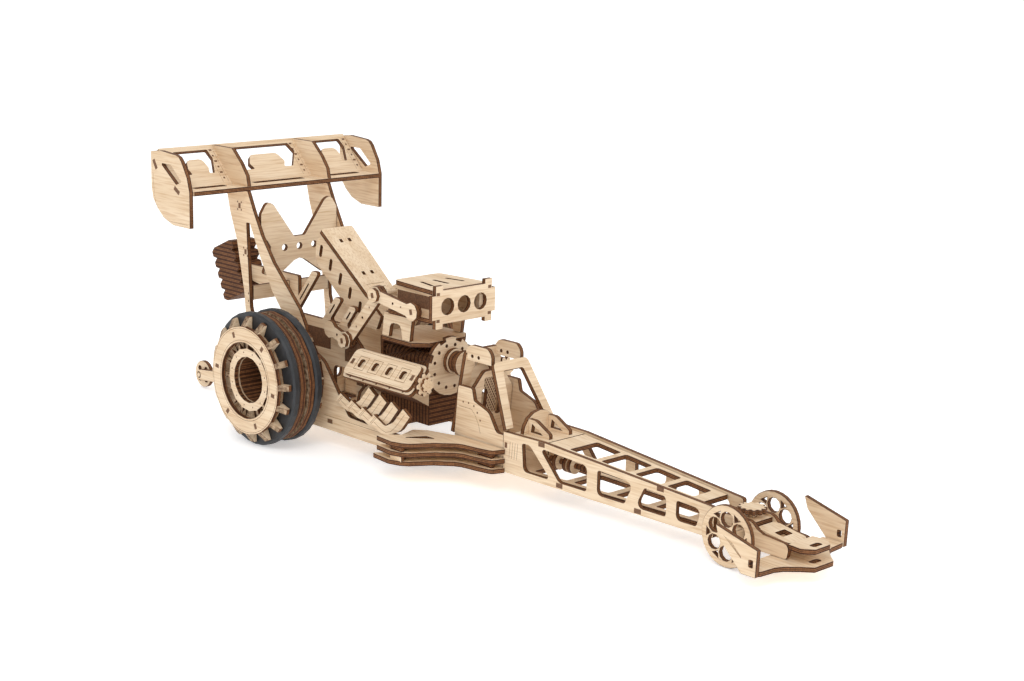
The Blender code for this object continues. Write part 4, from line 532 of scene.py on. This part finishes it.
# Six tab ends round each rear wheel's outer ring, along its radius
WHEEL_TAB_COUNT = 6
WHEEL_TAB_START = math.radians(112)
WHEEL_TAB_RADII = (0.0290, 0.0328)
WHEEL_TAB_WIDTH = 0.0026


def mark_rear_wheel(side_name, side):
    for k in range(WHEEL_TAB_COUNT):
        turn = WHEEL_TAB_START + math.tau * k / WHEEL_TAB_COUNT
        ends = [(radius * math.cos(turn), REAR_RADIUS + radius * math.sin(turn))
                for radius in WHEEL_TAB_RADII]
        side_line("rear_wheel_" + side_name, side, ends, WHEEL_TAB_WIDTH, ON_TAB_END_AND_SHADE)


# The links: a slightly leaning tab end at each head, and dots between the heads
LINK_HEADS = ((0.0700, 0.1065), (0.0390, 0.0712), (0.1050, 0.1012))
LINK_TAB_LEAN = (0.0004, 0.0017)
LINK_TAB_WIDTH = 0.0026
LINK_DOTS = ((0.0614, 0.0967), (0.0483, 0.0818), (0.0952, 0.1028))


def mark_links(side):
    dx, dz = LINK_TAB_LEAN
    for x, z in LINK_HEADS:
        side_line("links", side, ((x - dx, z + dz), (x + dx, z - dz)), LINK_TAB_WIDTH, ON_TAB_END_AND_SHADE)
    for x, z in LINK_DOTS:
        side_patch("links", side, x, z, DOT, DOT)


# The tab ends at the scoop front's corners: (y, z)
SCOOP_TAB_PLACES = ((0.0220, 0.0972), (0.0220, 0.1143))
SCOOP_TAB_SIZE = (0.0028, 0.0020)
SCOOP_FRONT_X = 0.1240


def mark_scoop_front(side):
    for y, z in SCOOP_TAB_PLACES:
        add_mark("scoop_front", (SCOOP_FRONT_X, side * y, z), X_AXIS, Y_AXIS, *SCOOP_TAB_SIZE)


# The wing's flap leans back from its foot. Each bay has a strip of dots between two lines
FLAP_FOOT = (-0.0780, 0.1600)
FLAP_RISE = (-0.0235, 0.0245)
FLAP_NORMAL = (0.72, 0, 0.69)
FLAP_STRIP_Y = (-0.0400, 0.0290, 0.0775)
FLAP_STRIP_HALF = 0.0022
FLAP_LINE_MIDDLE = (-0.0890, 0.1718)
FLAP_LINE_LENGTH = 0.0280
FLAP_DOT_SHARES = (0.16, 0.30, 0.44, 0.58, 0.72, 0.86)
FLAP_DOT_HEIGHT = 0.0014
FLAP_DOT_LENGTHS = (0.0014, 0.0024)


def mark_wing():
    for y in FLAP_STRIP_Y:
        for k, share in enumerate(FLAP_DOT_SHARES):
            centre = (FLAP_FOOT[0] + FLAP_RISE[0] * share, y, FLAP_FOOT[1] + FLAP_RISE[1] * share)
            add_mark("wing", centre, FLAP_NORMAL, Y_AXIS, FLAP_DOT_LENGTHS[k % 2], FLAP_DOT_HEIGHT)
        for offset in (-FLAP_STRIP_HALF, FLAP_STRIP_HALF):
            centre = (FLAP_LINE_MIDDLE[0], y + offset, FLAP_LINE_MIDDLE[1])
            add_mark("wing", centre, FLAP_NORMAL, Y_AXIS, THIN_LINE, FLAP_LINE_LENGTH, ON_ENGRAVED)


# Strokes across the lever's face, each shorter and lower than the last
LEVER_NORMAL = (0.61, 0, 0.79)
LEVER_STROKE_COUNT = 5
LEVER_STROKE_START = (0.0330, 0.1030)
LEVER_STROKE_STEP = (0.0026, -0.0020)
LEVER_STROKE_LENGTH = 0.0150
LEVER_STROKE_LOSS = 0.0016
LEVER_STROKE_WIDTH = 0.0004


def mark_lever():
    for k in range(LEVER_STROKE_COUNT):
        x, z = (start + step * k for start, step in zip(LEVER_STROKE_START, LEVER_STROKE_STEP))
        add_mark("lever", (x, 0, z), LEVER_NORMAL, Y_AXIS, LEVER_STROKE_LENGTH - LEVER_STROKE_LOSS * k,
                 LEVER_STROKE_WIDTH, ON_ENGRAVED)


# The lattice on the seat's back
LATTICE_CENTRE = (0.1500, 0, 0.0520)
LATTICE_NORMAL = (1, 0, -0.1)
LATTICE_SIZE = (0.0150, 0.0240)


def make_marks():
    for side_name, side in SIDES:
        mark_patches(side_name, side)
        mark_struts(side_name, side)
        mark_strokes("rail_" + side_name, side, RAIL_STROKES, LINE)
        mark_strokes("nose_end_plate_" + side_name, side, NOSE_STROKES, THIN_LINE)
        mark_lines(side_name, side)
        mark_headers(side_name, side)
        mark_valve_cover(side_name, side)
        mark_rear_wheel(side_name, side)
        mark_links(side)
        mark_scoop_front(side)
    mark_wing()
    mark_lever()
    add_mark("seat", LATTICE_CENTRE, LATTICE_NORMAL, Y_AXIS, *LATTICE_SIZE, ON_LATTICE)


def spans(face, centre, mark):
    """A face's lowest and highest reach along and across a mark, counted from a point."""
    offsets = [v.co - centre for v in face.verts]
    us = [offset.dot(mark["along"]) for offset in offsets]
    vs = [offset.dot(mark["across"]) for offset in offsets]
    return min(us), max(us), min(vs), max(vs)


def seat_mark(bm, mark):
    """Move a mark along its normal to the outermost face under it, and turn it into that face."""
    if mark["seated"]:
        return True
    best = None
    probe = mark["centre"] + mark["along"] * mark["probe"]
    for face in bm.faces:
        if face.normal.dot(mark["normal"]) < SEAT_TILT:
            continue
        low_u, high_u, low_v, high_v = spans(face, probe, mark)
        if low_u > 0 or high_u < 0 or low_v > 0 or high_v < 0:
            continue
        offset = face.verts[0].co - probe
        depth = offset.dot(face.normal) / face.normal.dot(mark["normal"])
        if best is None or depth > best[0] + SEAT_TIE:
            best = (depth, face.normal.copy())
    if best is None:
        return False
    depth, normal = best
    mark["centre"] = mark["centre"] + mark["normal"] * depth
    mark["normal"] = normal
    mark["along"] = (mark["along"] - normal * mark["along"].dot(normal)).normalized()
    mark["across"] = normal.cross(mark["along"])
    return True


def faces_under(bm, mark):
    """The flat faces that a mark reaches."""
    faces = []
    half_u, half_v = mark["half"]
    for face in bm.faces:
        depth = abs((face.verts[0].co - mark["centre"]).dot(mark["normal"]))
        if face.normal.dot(mark["normal"]) < MARK_TILT or depth > MARK_DEPTH:
            continue
        low_u, high_u, low_v, high_v = spans(face, mark["centre"], mark)
        if high_u > -half_u and low_u < half_u and high_v > -half_v and low_v < half_v:
            faces.append(face)
    return faces


def cut_marks(bm, marks):
    """Cut the outline of each mark into the flat faces that it lies on."""
    for mark in marks:
        if not seat_mark(bm, mark):
            print("mark without a face:", mark["centre"])
            continue
        for axis, half in zip(("along", "across"), mark["half"]):
            for sign in (-1, 1):
                faces = faces_under(bm, mark)
                if not faces:
                    continue
                edges = {e for face in faces for e in face.edges}
                verts = {v for face in faces for v in face.verts}
                bmesh.ops.bisect_plane(bm, geom=faces + list(edges) + list(verts), dist=CUT_DISTANCE,
                                       plane_co=mark["centre"] + mark[axis] * (half * sign),
                                       plane_no=mark[axis])


def in_mark(mark, polygon):
    offset = polygon.center - mark["centre"]
    return (polygon.normal.dot(mark["normal"]) > MARK_TILT
            and abs(offset.dot(mark["normal"])) < MARK_DEPTH
            and abs(offset.dot(mark["along"])) < mark["half"][0]
            and abs(offset.dot(mark["across"])) < mark["half"][1])


# Dressed plates

# Cosines: two faces in one plane, and an edge face that stands on its sheet's face
SAME_PLANE = 0.9998
STANDING = 0.35
# A sheet's face has at least this share of its cut edge's area, and the edge is about a ply wide
FACE_TO_EDGE_SHARE = 0.8
PLY_RANGE = (PLY * 0.5, PLY * 1.12)
# A face counts as crosswise, as a stack's end or as a stack's upper side past these slopes
CROSSWISE_SLOPE = 0.7
STACK_END_SLOPE = 0.9
PACK_TOP_SLOPE = 0.8
HEAD_END_SLOPE = 0.5
HEAD_UPPER_SLOPE = 0.2
MERGE_DISTANCE = 0.00001
SCORCH_WIDTH = 0.00035
SCORCH_ANGLE = math.radians(38)

# The nodes that are stacks of sheets, with the direction through their sheets
STACKS = {"engine_block": X_AXIS, "cylinder_head_left": X_AXIS, "cylinder_head_right": X_AXIS,
          "parachute_pack": Z_AXIS, "rotor_left": X_AXIS, "rotor_right": X_AXIS, "pulley": X_AXIS}

# The rear wheels: inside their ring is the hub, and inside that its barrel
WHEEL_HUB_RADIUS = 0.0262
WHEEL_BARREL_RADIUS = 0.0165
WHEEL_SPOKE_SLOPE = 0.6
WHEEL_FACE_SLOPE = 0.5


def plane_regions(mesh):
    """Group faces that touch and share a plane. Returns each face's region number, and the regions."""
    bm = bmesh.new()
    bm.from_mesh(mesh)
    bm.faces.ensure_lookup_table()
    number_of = [None] * len(bm.faces)
    regions = []
    for start in bm.faces:
        if number_of[start.index] is not None:
            continue
        number = len(regions)
        regions.append({"normal": start.normal.copy(), "area": 0.0, "points": [], "neighbours": set()})
        number_of[start.index] = number
        stack = [start]
        while stack:
            face = stack.pop()
            for e in face.edges:
                for other in e.link_faces:
                    if number_of[other.index] is None and other.normal.dot(start.normal) > SAME_PLANE:
                        number_of[other.index] = number
                        stack.append(other)
    for e in bm.edges:
        if len(e.link_faces) == 2:
            a, b = (number_of[face.index] for face in e.link_faces)
            if a != b:
                regions[a]["neighbours"].add(b)
                regions[b]["neighbours"].add(a)
    for face in bm.faces:
        region = regions[number_of[face.index]]
        region["area"] += face.calc_area()
        region["points"] += [v.co.copy() for v in face.verts]
    bm.free()
    return number_of, regions


def edge_ply(region, regions):
    """For a sheet's cut edge, the direction through the sheet, where it starts and its thickness."""
    best = None
    for number in region["neighbours"]:
        sheet = regions[number]
        normal = sheet["normal"]
        if abs(region["normal"].dot(normal)) > STANDING:
            continue
        if sheet["area"] < region["area"] * FACE_TO_EDGE_SHARE:
            continue
        along = [point.dot(normal) for point in region["points"]]
        width = max(along) - min(along)
        if PLY_RANGE[0] < width < PLY_RANGE[1] and (best is None or sheet["area"] > best[0]):
            best = (sheet["area"], (normal, min(along), width))
    return best and best[1]


def stack_ply(node, normal):
    """The same for a face of a stack of sheets, where it shows their edges."""
    if node not in STACKS:
        return None
    direction = STACKS[node]
    if node == "engine_block" and abs(normal.x) > STACK_END_SLOPE:
        direction = Z_AXIS
    if node == "parachute_pack" and abs(normal.z) > PACK_TOP_SLOPE:
        direction = X_AXIS
    if abs(normal.dot(direction)) > STACK_END_SLOPE:
        return None
    if "head" in node and (abs(normal.x) >= HEAD_END_SLOPE or normal.z >= HEAD_UPPER_SLOPE):
        return None
    return direction, 0, PLY


def dress_wheel_polygon(mesh, polygon, layer):
    """Flat faces are pale. Drums show their stacked plies, and the hub's barrel its slats."""
    axis = local(0, 0, REAR_RADIUS)
    spoke = polygon.center - axis
    spoke.y = 0
    if abs(polygon.normal.y) > WHEEL_FACE_SLOPE:
        polygon.material_index = ON_WHEEL
        return
    if abs(polygon.normal.dot(spoke.normalized())) < WHEEL_SPOKE_SLOPE and spoke.length > WHEEL_HUB_RADIUS:
        polygon.material_index = ON_FACE_X
        return
    polygon.material_index = ON_EDGE
    middle = math.atan2(spoke.z, spoke.x)
    for loop in polygon.loop_indices:
        point = mesh.vertices[mesh.loops[loop].vertex_index].co - axis
        turn = (math.atan2(point.z, point.x) - middle + math.pi) % math.tau - math.pi + middle
        arc = turn * spoke.length
        if spoke.length < WHEEL_BARREL_RADIUS:
            layer.data[loop].uv = (point.y, arc / PLY)
        else:
            layer.data[loop].uv = (arc, point.y / PLY)


def dress_polygon(mesh, polygon, layer, normal, ply):
    """A pale face, or an edge with its plies laid through the sheet."""
    if ply is None:
        polygon.material_index = ON_FACE_Y if abs(normal.x) > CROSSWISE_SLOPE else ON_FACE_X
        return
    polygon.material_index = ON_EDGE
    direction, low, width = ply
    run = normal.cross(direction).normalized()
    for loop in polygon.loop_indices:
        point = mesh.vertices[mesh.loops[loop].vertex_index].co
        layer.data[loop].uv = (point.dot(run), (point.dot(direction) - low) / width)


def add_scorched_edges(obj):
    """A narrow bevel in its own material draws the scorched line along each edge."""
    bevel = obj.modifiers.new("scorched", "BEVEL")
    bevel.width = SCORCH_WIDTH
    bevel.segments = 1
    bevel.limit_method = "ANGLE"
    bevel.angle_limit = SCORCH_ANGLE
    bevel.material = ON_SCORCH


def dress(node, body):
    """Replace a node by a copy with pale faces, burnt edges and its marks."""
    bm = bmesh.new()
    bm.from_mesh(bpy.data.objects[node].data)
    bmesh.ops.remove_doubles(bm, verts=bm.verts, dist=MERGE_DISTANCE)
    cut_marks(bm, MARKS[node])
    name = node + "_ply"
    mesh = bpy.data.meshes.new(name)
    bm.to_mesh(mesh)
    bm.free()
    for material in MATERIALS:
        mesh.materials.append(material)
    layer = mesh.uv_layers.new(name="ply")
    number_of, regions = plane_regions(mesh)
    plies = [edge_ply(region, regions) for region in regions]
    for polygon in mesh.polygons:
        if "rear_wheel" in node:
            dress_wheel_polygon(mesh, polygon, layer)
            continue
        number = number_of[polygon.index]
        normal = regions[number]["normal"]
        dress_polygon(mesh, polygon, layer, normal, plies[number] or stack_ply(node, normal))
    for mark in MARKS[node]:
        for polygon in mesh.polygons:
            if in_mark(mark, polygon):
                polygon.material_index = mark["index"]
    mesh.update()
    obj = bpy.data.objects.new(name, mesh)
    scene.collection.objects.link(obj)
    add_scorched_edges(obj)
    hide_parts(node)
    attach(obj, body)


def dress_bodies():
    for body, nodes in behaviour["bodies"].items():
        for node in nodes:
            if "band" in node:
                mesh = bpy.data.objects[node].data
                mesh.materials.clear()
                mesh.materials.append(rubber)
            else:
                dress(node, body)


# Small pieces that only the looks carry

PIECE_FACE, PIECE_EDGE = 0, 1
PARALLEL = 0.01


def finish_piece(name, bm, axis, face):
    """Give a small piece its face and edge materials, with the plies laid along the axis."""
    mesh = bpy.data.meshes.new(name)
    bm.to_mesh(mesh)
    bm.free()
    for material in (face, edge):
        mesh.materials.append(material)
    layer = mesh.uv_layers.new(name="ply")
    for polygon in mesh.polygons:
        run = polygon.normal.cross(axis)
        run = run.normalized() if run.length > PARALLEL else Y_AXIS
        for loop in polygon.loop_indices:
            point = mesh.vertices[mesh.loops[loop].vertex_index].co
            layer.data[loop].uv = (point.dot(run), point.dot(axis) / PLY)
    obj = bpy.data.objects.new(name, mesh)
    scene.collection.objects.link(obj)
    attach(obj, "body")


def turned_piece(name, centre, axis, rings, face):
    """A closed piece through rings about an axis.

    A ring is its distance along the axis, its (radius, share of a turn) places, and the material
    of the band that leads to it.
    """
    bm = bmesh.new()
    first = axis.orthogonal().normalized()
    second = axis.cross(first)
    loops = []
    for along, places, index in rings:
        loop = []
        for radius, share in places:
            turn = math.tau * share
            spoke = radius * (math.cos(turn) * first + math.sin(turn) * second)
            loop.append(bm.verts.new(centre + axis * along + spoke))
        loops.append(loop)
    for low, high, (along, places, index) in zip(loops[:-1], loops[1:], rings[1:]):
        for k in range(len(low)):
            after = (k + 1) % len(low)
            bm.faces.new((low[k], low[after], high[after], high[k])).material_index = index
    bm.faces.new(list(reversed(loops[0])))
    bm.faces.new(loops[-1])
    bmesh.ops.recalc_face_normals(bm, faces=bm.faces)
    finish_piece(name, bm, axis, face)


# A shaft with three discs between the rails, ahead of the dash. Distances along it from its start
SHAFT_START = (0.2090, 0, 0.0225)
SHAFT_ENDS = (-0.0060, 0.0350)
SHAFT_RADIUS = 0.0018
DISC_RADIUS = 0.0052
DISC_STARTS = (0.0, 0.0085, 0.0125)
SHAFT_SIDES = 24


def add_deck_shaft():
    shaft = [(SHAFT_RADIUS, k / SHAFT_SIDES) for k in range(SHAFT_SIDES)]
    disc = [(DISC_RADIUS, share) for radius, share in shaft]
    rings = [(SHAFT_ENDS[0], shaft, PIECE_EDGE)]
    for start in DISC_STARTS:
        end = start + PLY
        rings += [(start, shaft, PIECE_EDGE), (start, disc, PIECE_FACE), (end, disc, PIECE_EDGE),
                  (end, shaft, PIECE_FACE)]
    rings.append((SHAFT_ENDS[1], shaft, PIECE_EDGE))
    turned_piece("deck_shaft", local(*SHAFT_START), X_AXIS, rings, face_y)


# The laminated tab ends in the windows of the nose end plates
NOSE_TAB_PLACE = (0.3907, 0.0388, 0.0152)
NOSE_TAB_SIZE = (0.0027, 0.0026, 0.0057)


def add_nose_tab(side_name, side):
    bm = bmesh.new()
    bmesh.ops.create_cube(bm, size=1)
    x, y, z = NOSE_TAB_PLACE
    for v in bm.verts:
        v.co = local(x, side * y, z) + v.co * Vector(NOSE_TAB_SIZE)
    for face in bm.faces:
        face.material_index = PIECE_EDGE
    finish_piece("nose_tab_" + side_name, bm, Z_AXIS, face_x)


# Two small gears, one on the other, at the front end of each valve cover:
# (name, x, tip radius, root radius, teeth, thickness)
GEAR_PLACE = (0.0345, 0.0590)
GEARS = (
    ("cover_gear", 0.1225, 0.0075, 0.0058, 9, PLY),
    ("cover_gear_outer", 0.1258, 0.0046, 0.0036, 7, PLY * 0.6),
)
# A tooth's corners, as shares of its pitch
TOOTH_ROOT_SHARES = (0.05, 0.95)
TOOTH_TIP_SHARES = (0.30, 0.70)


def add_cover_gears(side_name, side):
    y, z = GEAR_PLACE
    for name, x, tip, root, teeth, thickness in GEARS:
        places = []
        for k in range(teeth):
            for radius, share in ((root, TOOTH_ROOT_SHARES[0]), (tip, TOOTH_TIP_SHARES[0]),
                                  (tip, TOOTH_TIP_SHARES[1]), (root, TOOTH_ROOT_SHARES[1])):
                places.append((radius, (k + share) / teeth))
        rings = [(0, places, PIECE_FACE), (thickness, places, PIECE_EDGE)]
        turned_piece(f"{name}_{side_name}", local(x, side * y, z), X_AXIS, rings, face_x)


def add_small_pieces():
    add_deck_shaft()
    for side_name, side in SIDES:
        add_nose_tab(side_name, side)
    for side_name, side in SIDES:
        add_cover_gears(side_name, side)


# Floor, lights and camera

FLOOR_SIZE = 60
FLOOR_DROP = 0.0002
FLOOR_COLOUR = (0.93, 0.93, 0.93, 1)
FLOOR_GLOW = 0.42
WORLD_STRENGTH = 0.74
LIGHT_TARGET = (0, 0, 0.06)
# (name, place, size, power)
LIGHTS = (
    ("key", (0.9, -1.3, 1.7), 1.1, 14),
    ("fill", (1.6, 0.9, 1.2), 1.6, 7),
    ("back", (-1.3, 0.6, 1.6), 1.4, 6),
)


def build_stage():
    bpy.ops.mesh.primitive_plane_add(size=FLOOR_SIZE, location=(0, 0, -FLOOR_DROP))
    floor = bpy.context.object
    floor.name = "studio_floor"
    material, tree, shader = new_material("studio_white", FLOOR_SURFACE)
    shader.inputs["Base Color"].default_value = FLOOR_COLOUR
    shader.inputs["Emission Color"].default_value = (*WHITE, 1)
    shader.inputs["Emission Strength"].default_value = FLOOR_GLOW
    floor.data.materials.append(material)
    world = bpy.data.worlds.new("studio")
    scene.world = world
    world.use_nodes = True
    background = world.node_tree.nodes["Background"]
    background.inputs["Color"].default_value = (*WHITE, 1)
    background.inputs["Strength"].default_value = WORLD_STRENGTH
    for name, place, size, power in LIGHTS:
        light = bpy.data.lights.new(name, "AREA")
        light.size = size
        light.energy = power
        lamp = bpy.data.objects.new(name, light)
        lamp.location = place
        to_target = Vector(LIGHT_TARGET) - Vector(place)
        lamp.rotation_euler = to_target.to_track_quat("-Z", "Y").to_euler()
        scene.collection.objects.link(lamp)


# The camera, as solved from the picture's vanishing lines. Angles in radians, lens in millimetres
CAMERA_PLACE = (0.97549, -0.78537, 0.34669)
CAMERA_HEADING = 2.371
CAMERA_TILT = 0.224
CAMERA_ROLL = -0.023
CAMERA_LENS = 65.77
SENSOR_WIDTH = 36
CLIP_END = 50


def build_camera():
    level = math.cos(CAMERA_TILT)
    forward = Vector((level * math.cos(CAMERA_HEADING), level * math.sin(CAMERA_HEADING),
                      -math.sin(CAMERA_TILT)))
    right = forward.cross(Z_AXIS).normalized()
    up = right.cross(forward)
    rolled_right = math.cos(CAMERA_ROLL) * right - math.sin(CAMERA_ROLL) * up
    rolled_up = math.sin(CAMERA_ROLL) * right + math.cos(CAMERA_ROLL) * up
    camera = bpy.data.cameras.new("camera")
    camera.sensor_width = SENSOR_WIDTH
    camera.lens = CAMERA_LENS
    camera.clip_end = CLIP_END
    obj = bpy.data.objects.new("camera", camera)
    matrix = Matrix((rolled_right, rolled_up, -forward)).transposed().to_4x4()
    matrix.translation = local(*CAMERA_PLACE)
    obj.matrix_world = matrix
    scene.collection.objects.link(obj)
    scene.camera = obj


make_marks()
dress_bodies()
add_small_pieces()
build_stage()
build_camera()
scene.view_settings.view_transform = "Standard"
scene.view_settings.look = "None"
scene.view_settings.exposure = 0.0
